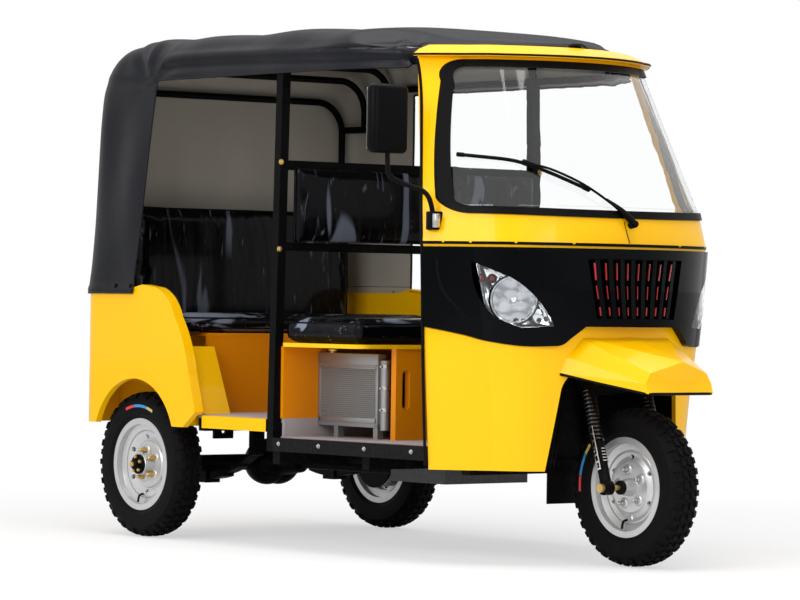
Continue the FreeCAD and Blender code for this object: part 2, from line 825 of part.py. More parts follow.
def make_rear_axle():
    z = TYRE_RADIUS
    tube_end = TRACK / 2 - 72
    shaft_end = TRACK / 2 + 24
    casing = turned(
        (0, -105),
        (32, -105),
        ((76, -66), (82, 0)),
        ((76, 66), (32, 105)),
        (0, 105),
    )
    casing.translate(Vector(0, 0, z))
    nose = Part.makeCone(52, 34, 130, Vector(50, 0, z), Vector(1, 0, 0))
    plates = [across(REAR_DRUM_RADIUS + 4, 0, y - 2.5, y + 2.5, z) for y in (67 - TRACK / 2, TRACK / 2 - 67)]
    tube = across(30, 0, -tube_end, tube_end, z)
    shaft = across(AXLE_RADIUS, 0, -shaft_end, shaft_end, z)
    store("rear_axle", fused([tube, shaft, casing, nose] + plates))


def leaf(reach, low_z, rise, thick, y):
    end_z = low_z + rise
    wire = outline(
        xz(y - 25),
        (-reach, end_z),
        ((0, low_z), (reach, end_z)),
        (reach, end_z + thick),
        ((0, low_z + thick), (-reach, end_z + thick)),
    )
    return prism(wire, Vector(0, 50, 0))


def make_leaf_springs():
    springs = []
    for sign in (-1, 1):
        y = sign * LEAF_SPRING_Y
        top = TYRE_RADIUS - 30
        leaves = [
            leaf(300, top - 10, 84, 10, y),
            leaf(220, top - 20, 45, 10, y),
            leaf(130, top - 30, 16, 10, y),
        ]
        for x in (-300, 300):
            leaves.append(across(15, x, y - 25, y + 25, top + 84))
            leaves.append(block(x - 14, x + 14, y - 25, y + 25, top + 84, RAIL_REAR_Z))
        clamp = block(-34, 34, y - 32, y + 32, top - 42, top + 14)
        seat = across(30 + SEAT_GAP, 0, y - 40, y + 40, TYRE_RADIUS)
        springs.append(fused(leaves + [clamp]).cut(seat))
    store("leaf_springs", *springs)


def make_drive_shaft():
    start = (180 + SEAT_GAP, 0, TYRE_RADIUS)
    store("drive_shaft", rod(start, (ENGINE_X - SEAT_GAP, 0, TYRE_RADIUS + 4), 18))


# ---- nose pieces
def wheel_cut():
    """Opening in the nose for the front wheel, seen from the front."""
    wire = outline(
        yz(1700),
        (-300, 300),
        (-262, 575),
        ((-230, 640), (-160, 660)),
        (160, 660),
        ((230, 640), (262, 575)),
        (300, 300),
    )
    return prism(wire, Vector(400, 0, 0))


HEAD_LAMP_SIDE = (
    # almond outline on the plane through its two corners: distance from the inner corner, z
    (0, 800),
    (40, 868),
    (150, 962),
    (276, 1010),
    (262, 920),
    (190, 822),
    (110, 794),
)
LAMP_INNER = (1938, -308)
LAMP_OUTER = (1766, -532)


def lamp_frame():
    a = Vector(LAMP_INNER[0], LAMP_INNER[1], 0)
    b = Vector(LAMP_OUTER[0], LAMP_OUTER[1], 0)
    along = (b - a).normalize()
    outward = Vector(-along.y, along.x, 0)
    if outward.x < 0:
        outward = outward * -1
    return a, along, outward


def lamp_wire(grow, depth):
    """The head lamp's outline, grown by grow, at depth in front of the plane of its corners."""
    a, along, outward = lamp_frame()
    base = a + outward * depth
    centre = (140, 880)

    def place(u, z):
        away = Vector(u - centre[0], z - centre[1], 0)
        scale = 1 + grow / away.Length
        return base + along * (centre[0] + away.x * scale) + Vector(0, 0, centre[1] + away.y * scale)

    inner, rise, top_mid, outer, fall, low, low_mid = HEAD_LAMP_SIDE
    return outline(place, inner, (rise, top_mid), outer, (fall, low), low_mid)


def lamp_prism(grow, depth, length):
    _, _, outward = lamp_frame()
    return prism(lamp_wire(grow, depth), outward * length)


def make_cowl():
    heights = [row[0] for row in NOSE_SECTIONS if row[0] <= 920] + [COWL_TOP_Z]
    cowl = nose_solid(heights, 0, None, 2).cut(nose_solid(heights, -COWL_WALL, None, 60))
    pocket = lamp_prism(4, -200, 400)
    for cutter in (wheel_cut(), pocket, mirrored(pocket), grille_prism(2)):
        cowl = cowl.cut(cutter)
    store("front_cowl", cowl)


def grille_prism(grow):
    wire = outline(
        yz(1900),
        (-175 - grow, 826 - grow),
        (175 + grow, 826 - grow),
        (213 + grow, 1026 + grow),
        (-213 - grow, 1026 + grow),
    )
    return prism(wire, Vector(200, 0, 0))


def mask_side():
    """The mask's lower edge, seen from the front, as a cutter that keeps what lies above it."""
    return outline(
        yz(1500),
        (-700, 797),
        (-605, 792),
        (-519, 765),
        ((-456, 743), (-351, 733)),
        (-300, 735),
        ((-282, 740), (-262, 757)),
        (-210, 800),
        (210, 800),
        (262, 757),
        ((282, 740), (300, 735)),
        (351, 733),
        ((456, 743), (519, 765)),
        (605, 792),
        (700, 797),
        (700, 1200),
        (-700, 1200),
    )


def make_mask():
    heights = (720, 826, 920, 1010, MASK_TOP_Z)
    outer = nose_solid(heights, MASK_STAND, MASK_NOSE_STAND, 0)
    inner = nose_solid((700, 750, 920, MASK_TOP_Z + 10), 0.2, None, 60)
    mask = outer.cut(inner).common(prism(mask_side(), Vector(700, 0, 0)))
    mask = mask.cut(block(1000, COWL_REAR_X + 6, -800, 800, 600, 1200))
    pocket = lamp_prism(1, -200, 400)
    mask = mask.cut(pocket).cut(mirrored(pocket)).cut(grille_prism(0))
    store("front_mask", mask)


def make_grille():
    """Kinked upright bars in one plate-backed frame that fills the mask's opening."""
    bars = []
    count = 8
    for i in range(count):
        share = (i + 0.5) / count * 2 - 1
        top = share * 200
        low = share * 163
        wire = outline(
            yz(1978),
            (low - 9, 828),
            (low + 9, 828),
            (top * 0.93 + 6, 940),
            (top + 9, 1024),
            (top - 9, 1024),
            (top * 0.93 - 12, 940),
        )
        bars.append(prism(wire, Vector(34, 0, 0)))
    back = grille_prism(-SEAT_GAP).common(block(1966, 1978.5, -300, 300, 700, 1100))
    keep = nose_solid((750, 826, 920, 1010, MASK_TOP_Z), MASK_STAND - 4, MASK_NOSE_STAND - 6, 60)
    store("grille", fused([back] + bars).common(keep))


def make_headlights():
    heights = (750, 826, 920, 1010, 1040)
    shape = nose_solid(heights, MASK_STAND - 8, MASK_NOSE_STAND, 60)
    bowl = lamp_prism(0, -92, 150).common(shape).cut(lamp_prism(-8, -80, 150))
    skin = nose_solid(heights, MASK_STAND - 1, MASK_NOSE_STAND, 60)
    core = nose_solid(heights, MASK_STAND - 6, MASK_NOSE_STAND, 60)
    lens = lamp_prism(-0.5, 0, 150).common(skin.cut(core))
    store("headlight_bowls", bowl, mirrored(bowl))
    store("headlight_lenses", lens, mirrored(lens))


def screen_front(margin):
    """Windscreen outline seen from the front, grown by margin."""
    m = margin
    return outline(
        yz(1300),
        (-515, 1171 - m),
        ((0, 1163 - m), (515, 1171 - m)),
        ((554 + 0.7 * m, 1186 - 0.7 * m), (569 + m, 1225)),
        ((534 + m, 1400), (474 + m, 1620)),
        ((456 + 0.7 * m, 1672 + 0.7 * m), (404, 1694 + m)),
        (-404, 1694 + m),
        ((-456 - 0.7 * m, 1672 + 0.7 * m), (-474 - m, 1620)),
        ((-534 - m, 1400), (-569 - m, 1225)),
        ((-554 - 0.7 * m, 1186 - 0.7 * m), (-515, 1171 - m)),
    )


def make_windscreen():
    heights = (COWL_TOP_Z + STRIP_HEIGHT, 1200, 1460, HEADER_TOP_Z)
    frame = nose_solid(heights, 0, None, 2).cut(nose_solid(heights, -COWL_WALL - 12, None, 80))
    reach = Vector(800, 0, 0)
    store("windscreen_frame", frame.cut(prism(screen_front(0), reach)))
    skin = nose_solid(heights, -2, None, 60).cut(nose_solid(heights, -2 - GLASS_THICKNESS, None, 60))
    glass = skin.common(prism(screen_front(-SEAL_WIDTH / 2), reach))
    store("windscreen_glass", glass)
    ring = prism(screen_front(-0.2), reach).cut(prism(screen_front(-SEAL_WIDTH), reach))
    band = nose_solid(heights, 7, None, 60).cut(nose_solid(heights, -12, None, 60))
    store("windscreen_seal", band.common(ring).cut(glass))


def make_shoulder_strip():
    heights = (COWL_TOP_Z, COWL_TOP_Z + STRIP_HEIGHT)
    store("shoulder_strip", nose_solid(heights, 2).cut(nose_solid(heights, -COWL_WALL, None, 60)))


def make_visor():
    """Roof cap of the cab: a lip over the windscreen, sloping up and in to the canopy's front hem."""
    low = HEADER_TOP_Z + SEAT_GAP
    lip = prism(nose_wire(low, 34, 42), Vector(0, 0, VISOR_LIP))
    foot = nose_wire(low, 28, 34)
    foot.translate(Vector(0, 0, VISOR_LIP))
    top = nose_wire(low, 2 - CANOPY_FRONT_INSET)
    top.translate(Vector(0, 0, VISOR_TOP_Z - SEAT_GAP - low))
    cap = Part.makeLoft([foot, top], True, True)
    inside = prism(nose_wire(low, -60), Vector(0, 0, 100))
    rear = block(1000, 1440, -700, 700, 1600, 1900)
    store("visor", fused([lip, cap]).cut(inside).cut(rear))


def make_dashboard():
    low = 1034
    shelf = nose_solid((low, low + 24), -COWL_WALL - SEAT_GAP).cut(block(1500, 1652, -700, 700, 900, 1200))
    pod = block(1752, 1856, -130, 130, low + 24, low + 66)
    hole = rod(on_steer_axis(low - 60), on_steer_axis(low + 120), 36)
    store("dashboard", fused([shelf, pod]).cut(hole))


def make_toe_board():
    x = 1660 + SEAT_GAP
    low = RAIL_FRONT_Z + RAIL_HEIGHT + SEAT_GAP
    store("toe_board", block(x, x + 10, -490, 490, low, 1034 - SEAT_GAP))


def mudguard_points(scale_in):
    """Corners of the faceted mudguard's right half: name to x, y, z; moved in by scale_in."""
    d = scale_in
    return {
        "crown": (1955, 0, 772 - d),
        "peak": (1931, -202 + d, 769 - d),
        "wing": (1915, -254 + d, 705 - d * 0.6),
        "foot": (1901, -278 + d, 648),
        "ridge": (2233 - d, 0, 690 - d),
        "brow": (2211 - d, -127 + d, 651 - d),
        "cheek": (2212 - d, -149 + d, 617),
        "toe": (2223 - d, -146 + d, 588),
    }


def hood(scale_in, drop):
    p = {name: Vector(*at) for name, at in mudguard_points(scale_in).items()}
    low = {name: Vector(at.x, at.y, at.z - drop) for name, at in p.items() if name in ("foot", "toe")}
    rear_low = Vector(p["crown"].x, 0, p["foot"].z - drop)
    front_low = Vector(p["toe"].x, 0, p["toe"].z - drop)
    front_toe = Vector(p["toe"].x, 0, p["toe"].z)
    front_cheek = Vector(p["cheek"].x, 0, p["cheek"].z)
    faces = []

    def face(*corners):
        faces.append(Part.Face(Part.makePolygon(list(corners) + [corners[0]])))

    face(p["crown"], p["peak"], p["ridge"])
    face(p["peak"], p["brow"], p["ridge"])
    face(p["peak"], p["wing"], p["brow"])
    face(p["wing"], p["cheek"], p["brow"])
    face(p["wing"], p["foot"], p["cheek"])
    face(p["foot"], p["toe"], p["cheek"])
    face(p["foot"], low["foot"], p["toe"])
    face(low["foot"], low["toe"], p["toe"])
    face(p["ridge"], p["brow"], front_cheek)
    face(p["brow"], p["cheek"], front_cheek)
    face(p["cheek"], p["toe"], front_cheek)
    face(p["toe"], front_toe, front_cheek)
    face(p["toe"], low["toe"], front_toe)
    face(low["toe"], front_low, front_toe)
    face(low["foot"], rear_low, low["toe"])
    face(rear_low, front_low, low["toe"])
    face(p["crown"], rear_low, p["peak"])
    face(p["peak"], rear_low, p["wing"])
    face(p["wing"], rear_low, p["foot"])
    face(p["foot"], rear_low, low["foot"])
    face(p["crown"], p["ridge"], front_cheek)
    face(p["crown"], front_cheek, front_toe)
    face(p["crown"], front_toe, front_low)
    face(p["crown"], front_low, rear_low)
    half = Part.Solid(Part.Shell(faces))
    if half.Volume < 0:
        half.reverse()
    return half.fuse(mirrored(half)).removeSplitter()


def make_mudguard():
    outer = hood(0, 4)
    inner = hood(MUDGUARD_WALL, 40)
    keep = nose_solid((500, 574, 750, 920), SEAT_GAP, None, 60)
    guard = outer.cut(inner).cut(keep)
    biggest = max(guard.Solids, key=lambda solid: solid.Volume)
    store("front_mudguard", biggest)


def make_mudflap():
    top = RAIL_FRONT_Z - SEAT_GAP
    store("mudflap", block(1688, 1694, -112, 112, top - 104, top))


def on_nose(z, y, stand):
    """The point at height z and lateral distance y on the nose's front arc, moved forward by stand."""
    _, _, corner, nose = nose_points(z)
    rise = nose[0] - corner[0]
    radius = (rise ** 2 + corner[1] ** 2) / (2 * rise)
    return (nose[0] - radius + math.sqrt(radius ** 2 - y ** 2) + stand, y, z)


def around_nose(z, y, stand):
    """Like on_nose, and further round the corner on to the cheek and the side."""
    rear, shoulder, corner, _ = nose_points(z)
    reach = abs(y)
    if reach <= corner[1]:
        return on_nose(z, y, stand)
    near, far = (corner, shoulder) if reach <= shoulder[1] else (shoulder, rear)
    share = (reach - near[1]) / (far[1] - near[1])
    x = near[0] + (far[0] - near[0]) * share + 40 * share * (1 - share)
    return (x + stand, math.copysign(reach + stand * 0.6, y), z)


def make_wiper():
    body = nose_solid((1078, 1200, 1460, HEADER_TOP_Z), SEAT_GAP, None, 60)
    hub = rod((1950, 0, 1138), (1992, 0, 1148), 13).cut(body)
    elbow = (-345, 1338)
    arm = tube_along([(1986, 0, 1147), on_nose(1262, -180, 30), on_nose(elbow[1], elbow[0], 22)], 5, 60)
    ends = ((-165, 1258), (-255, 1301), elbow, (-425, 1353), (-500, 1362))
    blade = tube_along([around_nose(z, y, 20) for y, z in ends], 5, 60)
    store("wiper", fused([hub, arm, blade]).cut(body))


def make_mirror():
    housing = rounded_pad(-26, 26, -80, 80, 0, 232, 25)
    housing.translate(Vector(1540, -708, 1366))
    z = 1146
    rear, shoulder, _, _ = nose_points(z)
    x, y = bulged(shoulder, rear, SIDE_BULGE)
    path = [
        (1540, -706, 1400),
        (1548, -700, 1318),
        (1585, -668, 1266),
        (1640, -620, 1243),
        (x, -y - 20, 1206),
        (x, -y - 14, z),
    ]
    arm = tube_along(path, 7, 24)
    along = Vector(shoulder[0] - rear[0], rear[1] - shoulder[1], 0)
    along.normalize()
    out = Vector(along.y, -along.x, 0)
    middle = Vector(x, -y, z - 32)
    corners = [middle + along * a + out * b for a, b in ((-30, -6), (30, -6), (30, 26), (-30, 26))]
    clamp = Part.Face(Part.makePolygon(corners + [corners[0]])).extrude(Vector(0, 0, 62))
    body = nose_solid((1078, 1200, 1460), SEAT_GAP, None, 60)
    store("right_mirror", fused([housing, arm, clamp]).cut(body))


# ---- canopy
def canopy_ring(z, rear_in, side_in, growth, rise, inset):
    """Plan outline of the canopy at one height; the inner skin is moved in by inset."""
    flat = math.sqrt(1 - rise ** 2) * inset
    rear = TAIL_X - CANOPY_GAP - CANOPY_WALL + rear_in + flat
    half = BODY_HALF_WIDTH + CANOPY_GAP + CANOPY_WALL - side_in - flat
    bend = TAIL_CORNER_RADIUS + CANOPY_GAP + CANOPY_WALL + growth - flat
    turn = bend * (1 - math.sqrt(0.5))
    return outline(
        xy(z - rise * inset),
        (rear + bend, -half),
        ((rear + turn, -half + turn), (rear, -half + bend)),
        (rear, half - bend),
        ((rear + turn, half - turn), (rear + bend, half)),
        (1100, half),
        ((1300, half - 41), (1450, half - 144)),
        (1800, half - 144),
        (1800, -half + 144),
        (1450, -half + 144),
        ((1300, -half + 41), (1100, -half)),
    )


def canopy_profile(inset):
    """The roof seen from the side, falling towards the windscreen, as a prism across the whole width."""
    top = CANOPY_TOP_Z - inset
    wire = outline(
        xz(-800),
        (-800, 400),
        (-800, top),
        (900, top),
        ((1100, top - 3), (1250, top - 11)),
        (1790, top - 107),
        (1790, 400),
    )
    return prism(wire, Vector(0, 1600, 0))


def canopy_nose(inset):
    """The roof's front edge in plan, following the windscreen header."""
    _, shoulder, corner, nose = nose_points(HEADER_TOP_Z, -CANOPY_FRONT_INSET - inset)
    wire = outline(
        xy(0),
        (-800, -800),
        (-800, 800),
        (1380, 800),
        shoulder,
        corner,
        (nose, (corner[0], -corner[1])),
        (shoulder[0], -shoulder[1]),
        (1380, -800),
    )
    return prism(wire, Vector(0, 0, 2000))


def canopy_cheek(inset):
    """Takes the roof's front corners down: an outline swept level across one diagonal, then mirrored."""
    along = Vector(-CHEEK_SLANT[1], CHEEK_SLANT[0], 0)

    def at(u, z):
        return Vector(CHEEK_SLANT[0] * u, CHEEK_SLANT[1] * u, z) - along * 2500

    top = CANOPY_TOP_Z - inset
    points = (
        at(-3000, 0),
        at(-3000, top + 60),
        at(900, top + 20),
        at(1150, top - 20),
        at(1180, top - 48),
        at(1212 - inset, top - 76),
        at(1330 - inset, top - 145),
        at(1330 - inset, 0),
    )
    edge = Part.makePolygon(list(points) + [points[0]])
    return Part.Face(edge).extrude(along * 5000)


def canopy_shape(inset, bottom):
    foot = CANOPY_LEVELS[0]
    levels = ((bottom,) + foot[1:],) + CANOPY_LEVELS
    shape = Part.makeLoft([canopy_ring(*level, inset) for level in levels], True, True)
    cheek = canopy_cheek(inset)
    for keep in (canopy_profile(inset), canopy_nose(inset), cheek, mirrored(cheek)):
        shape = shape.common(keep)
    return shape


def make_canopy():
    shell = canopy_shape(0, CANOPY_HEM_Z).cut(canopy_shape(CANOPY_WALL, 700))
    opening = prism(
        outline(
            xz(-900),
            (12, 500),
            (12, CANOPY_HEM_Z),
            (78, CANOPY_EDGE_Z),
            (1300, CANOPY_EDGE_Z),
            (1440, VISOR_TOP_Z),
            (2100, VISOR_TOP_Z),
            (2100, 500),
        ),
        Vector(0, 1800, 0),
    )
    pieces = shell.cut(opening).Solids
    store("canopy", max(pieces, key=lambda solid: solid.Volume))


def make_canopy_frame():
    """Bent tubes: six hoops across, and rails along each side."""
    half = 580
    # x of the hoop, half its width, height of its straight top, radius of its corners, height of its feet
    hoops = (
        (-296, REAR_HOOP_HALF, 1645, 120, 640),
        (-180, 563, 1725, 120, 1540),
        (-50, half, 1765, 110, 1540),
        (300, half, 1788, 90, SIDE_RAIL_Z),
        (PARTITION_X, half, 1788, 90, SIDE_RAIL_Z),
        (1250, 546, 1758, 66, SIDE_RAIL_Z),
    )
    tubes = []
    for x, reach, top, bend, foot in hoops:
        points = [(x, -reach, foot), (x, -reach, top), (x, reach, top), (x, reach, foot)]
        tubes.append(tube_along(points, BOW_RADIUS, bend))
    front = nose_points(HEADER_TOP_Z)[0][0] - 2.3
    for y in (-half, half):
        tubes.append(rod((-296, math.copysign(REAR_HOOP_HALF, y), 1540), (-50, y, 1540), BOW_RADIUS))
        over = [math.copysign(reach, y) for reach in (half, half, 546, 486, 486)]
        plan = zip((-50, 1080, 1250, 1385, front), over)
        tubes.append(tube_along([(x, side_y, SIDE_RAIL_Z) for x, side_y in plan], BOW_RADIUS, 60))
    store("canopy_frame", fused(tubes))


def make_tail_lamps():
    outer = 90 - BODY_HALF_WIDTH
    lamp = rounded_pad(TAIL_X - 26, TAIL_X - 0.2, outer, outer + 90, 640, 790, 10)
    store("tail_lamps", lamp, mirrored(lamp))


make_front_wheel()
make_rear_wheels()
make_steering()
store("chassis_frame", make_chassis())
make_floor()
make_sills()
make_rear_body()
make_wheelhouses()
make_passenger_seat()
make_driver_seat()
make_radiator()
make_partition()
make_engine()
make_rear_axle()
make_leaf_springs()
make_drive_shaft()
make_cowl()
make_mask()
make_grille()
make_headlights()
make_windscreen()
make_shoulder_strip()
make_visor()
make_dashboard()
make_toe_board()
make_mudguard()
make_mudflap()
make_wiper()
make_mirror()
make_canopy()
make_canopy_frame()
make_tail_lamps()
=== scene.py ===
import json
import math

import bmesh
import bpy
from mathutils import Matrix, Vector
from mathutils.bvhtree import BVHTree


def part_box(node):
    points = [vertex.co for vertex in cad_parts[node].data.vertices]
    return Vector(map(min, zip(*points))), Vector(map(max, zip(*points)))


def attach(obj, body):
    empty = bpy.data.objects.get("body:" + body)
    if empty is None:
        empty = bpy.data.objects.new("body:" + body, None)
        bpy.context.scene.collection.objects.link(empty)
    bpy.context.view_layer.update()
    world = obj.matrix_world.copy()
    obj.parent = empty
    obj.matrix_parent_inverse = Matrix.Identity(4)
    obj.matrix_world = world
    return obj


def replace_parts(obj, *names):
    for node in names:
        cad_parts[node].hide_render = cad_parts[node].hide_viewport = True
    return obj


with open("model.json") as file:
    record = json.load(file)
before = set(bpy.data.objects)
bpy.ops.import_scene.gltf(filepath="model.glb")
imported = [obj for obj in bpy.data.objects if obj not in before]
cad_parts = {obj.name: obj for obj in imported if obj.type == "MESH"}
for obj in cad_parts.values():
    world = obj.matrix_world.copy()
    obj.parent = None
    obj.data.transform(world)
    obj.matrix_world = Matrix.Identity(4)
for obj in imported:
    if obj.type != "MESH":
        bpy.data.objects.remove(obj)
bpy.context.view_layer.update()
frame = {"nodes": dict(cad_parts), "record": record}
nodes = frame["nodes"]
MM = 0.001


# ---- small tools
def deselect():
    if bpy.context.object and bpy.context.object.mode != "OBJECT":
        bpy.ops.object.mode_set(mode="OBJECT")
    bpy.ops.object.select_all(action="DESELECT")


def pick(obj):
    """Selects one object alone and makes it the one that operators work on."""
    deselect()
    obj.select_set(True)
    bpy.context.view_layer.objects.active = obj
    return obj


def apply_modifiers(obj):
    pick(obj)
    for modifier in list(obj.modifiers):
        bpy.ops.object.modifier_apply(modifier=modifier.name)


def settle(obj):
    """Puts an object's place into its mesh, so that its origin is the vehicle's."""
    pick(obj)
    bpy.ops.object.transform_apply(location=True, rotation=True, scale=True)


def choose(obj, test, kind="FACE"):
    """In edit mode, selects the faces, edges or points for which test is true."""
    bpy.ops.object.mode_set(mode="EDIT")
    bpy.ops.mesh.select_mode(type=kind)
    bpy.ops.mesh.select_all(action="DESELECT")
    mesh = bmesh.from_edit_mesh(obj.data)
    for part in {"FACE": mesh.faces, "EDGE": mesh.edges, "VERT": mesh.verts}[kind]:
        if test(part):
            part.select_set(True)
    mesh.select_flush_mode()
    bmesh.update_edit_mesh(obj.data)


def open_mesh(obj):
    """Opens one object in edit mode with its whole mesh selected."""
    pick(obj)
    bpy.ops.object.mode_set(mode="EDIT")
    bpy.ops.mesh.select_all(action="SELECT")


def tidy_mesh(obj, reach=0.00005):
    """Merges points that meet and turns every face outwards."""
    open_mesh(obj)
    bpy.ops.mesh.remove_doubles(threshold=reach)
    bpy.ops.mesh.normals_make_consistent(inside=False)
    bpy.ops.object.mode_set(mode="OBJECT")


def smooth(obj, degrees=35):
    pick(obj)
    bpy.ops.object.shade_smooth_by_angle(angle=math.radians(degrees))


def put(obj, name, body, material, degrees=35):
    """Names a finished piece, gives it its finish and lets it ride on a body."""
    settle(obj)
    obj.name = name
    obj.data.name = name
    obj.data.materials.clear()
    obj.data.materials.append(material)
    smooth(obj, degrees)
    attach(obj, body)
    return obj


def joined(pieces):
    """One object out of several."""
    pieces = list(pieces)
    deselect()
    for piece in pieces:
        piece.select_set(True)
    bpy.context.view_layer.objects.active = pieces[0]
    if len(pieces) > 1:
        bpy.ops.object.join()
    return pieces[0]


def thicken(obj, thickness, offset=0.0, inner_material=0):
    """Gives a sheet a wall, to both sides alike or, with offset -1, inwards only."""
    wall = obj.modifiers.new("wall", "SOLIDIFY")
    wall.thickness = thickness
    wall.offset = offset
    wall.material_offset = inner_material
    apply_modifiers(obj)


def in_a_row(obj, count, step):
    """Repeats a piece at even steps, as one mesh."""
    row = obj.modifiers.new("row", "ARRAY")
    row.count = count
    row.use_relative_offset = False
    row.use_constant_offset = True
    row.constant_offset_displace = step
    apply_modifiers(obj)
    return obj


def copied(obj):
    """A copy with its own mesh, in the same place."""
    other = obj.copy()
    other.data = obj.data.copy()
    bpy.context.scene.collection.objects.link(other)
    other.matrix_world = obj.matrix_world.copy()
    return other


def mirrored(obj):
    """A copy on the other side of the vehicle."""
    settle(obj)
    other = copied(obj)
    for point in other.data.vertices:
        point.co.y = -point.co.y
    other.data.flip_normals()
    return other


def box_piece(low, high, bevel=0.0, segments=2):
    """A block between two corners with rounded edges."""
    deselect()
    low, high = Vector(low), Vector(high)
    bpy.ops.mesh.primitive_cube_add(size=1, location=(low + high) / 2)
    obj = bpy.context.object
    obj.scale = high - low
    settle(obj)
    if bevel:
        choose(obj, lambda edge: True, "EDGE")
        bpy.ops.mesh.bevel(offset=bevel, segments=segments, affect="EDGES")
        bpy.ops.object.mode_set(mode="OBJECT")
    return obj


def lathe(rings, start, direction, sides=32):
    """A closed turned shape. rings are (distance along direction, radius), from one end to the other."""
    deselect()
    bpy.ops.mesh.primitive_circle_add(vertices=sides, radius=rings[0][1], location=(0, 0, rings[0][0]))
    obj = bpy.context.object
    settle(obj)
    open_mesh(obj)
    for (here, radius), (there, wider) in zip(rings, rings[1:]):
        bpy.ops.mesh.extrude_region_move(TRANSFORM_OT_translate={"value": (0, 0, there - here)})
        share = wider / radius
        bpy.ops.transform.resize(value=(share, share, 1), center_override=(0, 0, 0))
    bpy.ops.object.mode_set(mode="OBJECT")
    close_ends(obj)
    turn = Vector((0, 0, 1)).rotation_difference(Vector(direction)).to_matrix().to_4x4()
    obj.matrix_world = Matrix.Translation(start) @ turn
    settle(obj)
    return obj


def close_ends(obj):
    """Caps whatever is open and turns every face outwards."""
    open_mesh(obj)
    bpy.ops.mesh.remove_doubles(threshold=0.00002)
    bpy.ops.mesh.select_all(action="DESELECT")
    bpy.ops.mesh.select_mode(type="EDGE")
    bpy.ops.mesh.select_non_manifold(extend=False, use_wire=False, use_boundary=True,
                                     use_multi_face=False, use_non_contiguous=False, use_verts=False)
    mesh = bmesh.from_edit_mesh(obj.data)
    if any(edge.select for edge in mesh.edges):
        bpy.ops.mesh.edge_face_add()
    bpy.ops.mesh.select_all(action="SELECT")
    bpy.ops.mesh.normals_make_consistent(inside=False)
    bpy.ops.object.mode_set(mode="OBJECT")


def bar(start, end, radius, sides=16, rim=0.15):
    """A round bar with softly broken ends."""
    length = (Vector(end) - Vector(start)).length
    edge = radius * rim
    rings = [(0, radius - edge), (edge, radius), (length - edge, radius), (length, radius - edge)]
    return lathe(rings, start, Vector(end) - Vector(start), sides)


def bolt(place, outward, across, height, washer=0.0):
    """A six-sided bolt head with a rounded crown, on a washer if one is asked for."""
    radius = across / 2
    rings = [(0, radius), (height * 0.75, radius), (height, radius * 0.8)]
    head = lathe(rings, place, outward, 6)
    if not washer:
        return head
    disc = [(-0.001, washer), (0.0012, washer), (0.0018, washer * 0.92)]
    return joined([head, lathe(disc, place, outward, 16)])


def bent_bar(points, radius, order=3, sides=2, detail=10, widths=None):
    """A round bar along a smooth line, with closed ends. widths are shares of radius, one for each point."""
    deselect()
    bpy.ops.curve.primitive_nurbs_path_add()
    obj = bpy.context.object
    curve = obj.data
    curve.splines.clear()
    line = curve.splines.new("NURBS")
    line.points.add(len(points) - 1)
    for point, place, width in zip(line.points, points, widths or [1.0] * len(points)):
        point.co = (*place, 1)
        point.radius = width
    line.order_u = order
    line.use_endpoint_u = True
    line.resolution_u = detail
    curve.dimensions = "3D"
    curve.bevel_depth = radius
    curve.bevel_resolution = sides
    curve.use_fill_caps = True
    pick(obj)
    bpy.ops.object.convert(target="MESH")
    obj = bpy.context.object
    tidy_mesh(obj)
    return obj


def surface_of(name):
    """A search tree over a CAD node, for seating trim on it."""
    mesh = nodes[name].data
    points = [vertex.co.copy() for vertex in mesh.vertices]
    return BVHTree.FromPolygons(points, [list(face.vertices) for face in mesh.polygons])


# ---- finishes
def linear(red, green, blue):
    """A colour as paint charts give it, 0 to 255, as the renderer takes it."""
    def one(value):
        value /= 255
        return value / 12.92 if value <= 0.04045 else ((value + 0.055) / 1.055) ** 2.4

    return (one(red), one(green), one(blue), 1)


def group_tree(name, inputs, outputs):
    """An empty node group. inputs are (name, kind, value), outputs are (name, kind)."""
    tree = bpy.data.node_groups.new(name, "ShaderNodeTree")
    for label, kind, value in inputs:
        socket = tree.interface.new_socket(name=label, in_out="INPUT", socket_type="NodeSocket" + kind)
        if value is not None:
            socket.default_value = value
    for label, kind in outputs:
        tree.interface.new_socket(name=label, in_out="OUTPUT", socket_type="NodeSocket" + kind)
    return tree, tree.nodes.new("NodeGroupInput"), tree.nodes.new("NodeGroupOutput")


def node(tree, kind, **values):
    """A node with properties (lower case names) and input values (names with a capital, _ for a space)."""
    made = tree.nodes.new("ShaderNode" + kind)
    for key, value in values.items():
        if key[0].isupper():
            made.inputs[key.replace("_", " ")].default_value = value
        else:
            setattr(made, key, value)
    return made


def maths(tree, operation, first, second=None, third=None, clamp=False):
    """The outcome of a sum of up to three values, each a socket or a number."""
    made = node(tree, "Math", operation=operation, use_clamp=clamp)
    for socket, value in zip(made.inputs, (first, second, third)):
        if value is None:
            continue
        if isinstance(value, (int, float)):
            socket.default_value = value
        else:
            tree.links.new(value, socket)
    return made.outputs[0]


def blended(tree, share, first, second):
    """Two colours mixed by share. Each may be a socket or a colour."""
    made = node(tree, "Mix", data_type="RGBA")
    for socket, value in zip((made.inputs[0], made.inputs[6], made.inputs[7]), (share, first, second)):
        if isinstance(value, bpy.types.NodeSocket):
            tree.links.new(value, socket)
        else:
            socket.default_value = value
    return made.outputs[2]


def ramp(tree, value, low, high):
    """0 below low, 1 above high, smooth between."""
    made = node(tree, "MapRange", interpolation_type="SMOOTHSTEP", From_Min=low, From_Max=high)
    tree.links.new(value, made.inputs["Value"])
    return made.outputs["Result"]


def own_place(tree):
    """The place on a piece, in metres from the vehicle's origin."""
    return node(tree, "TexCoord").outputs["Object"]


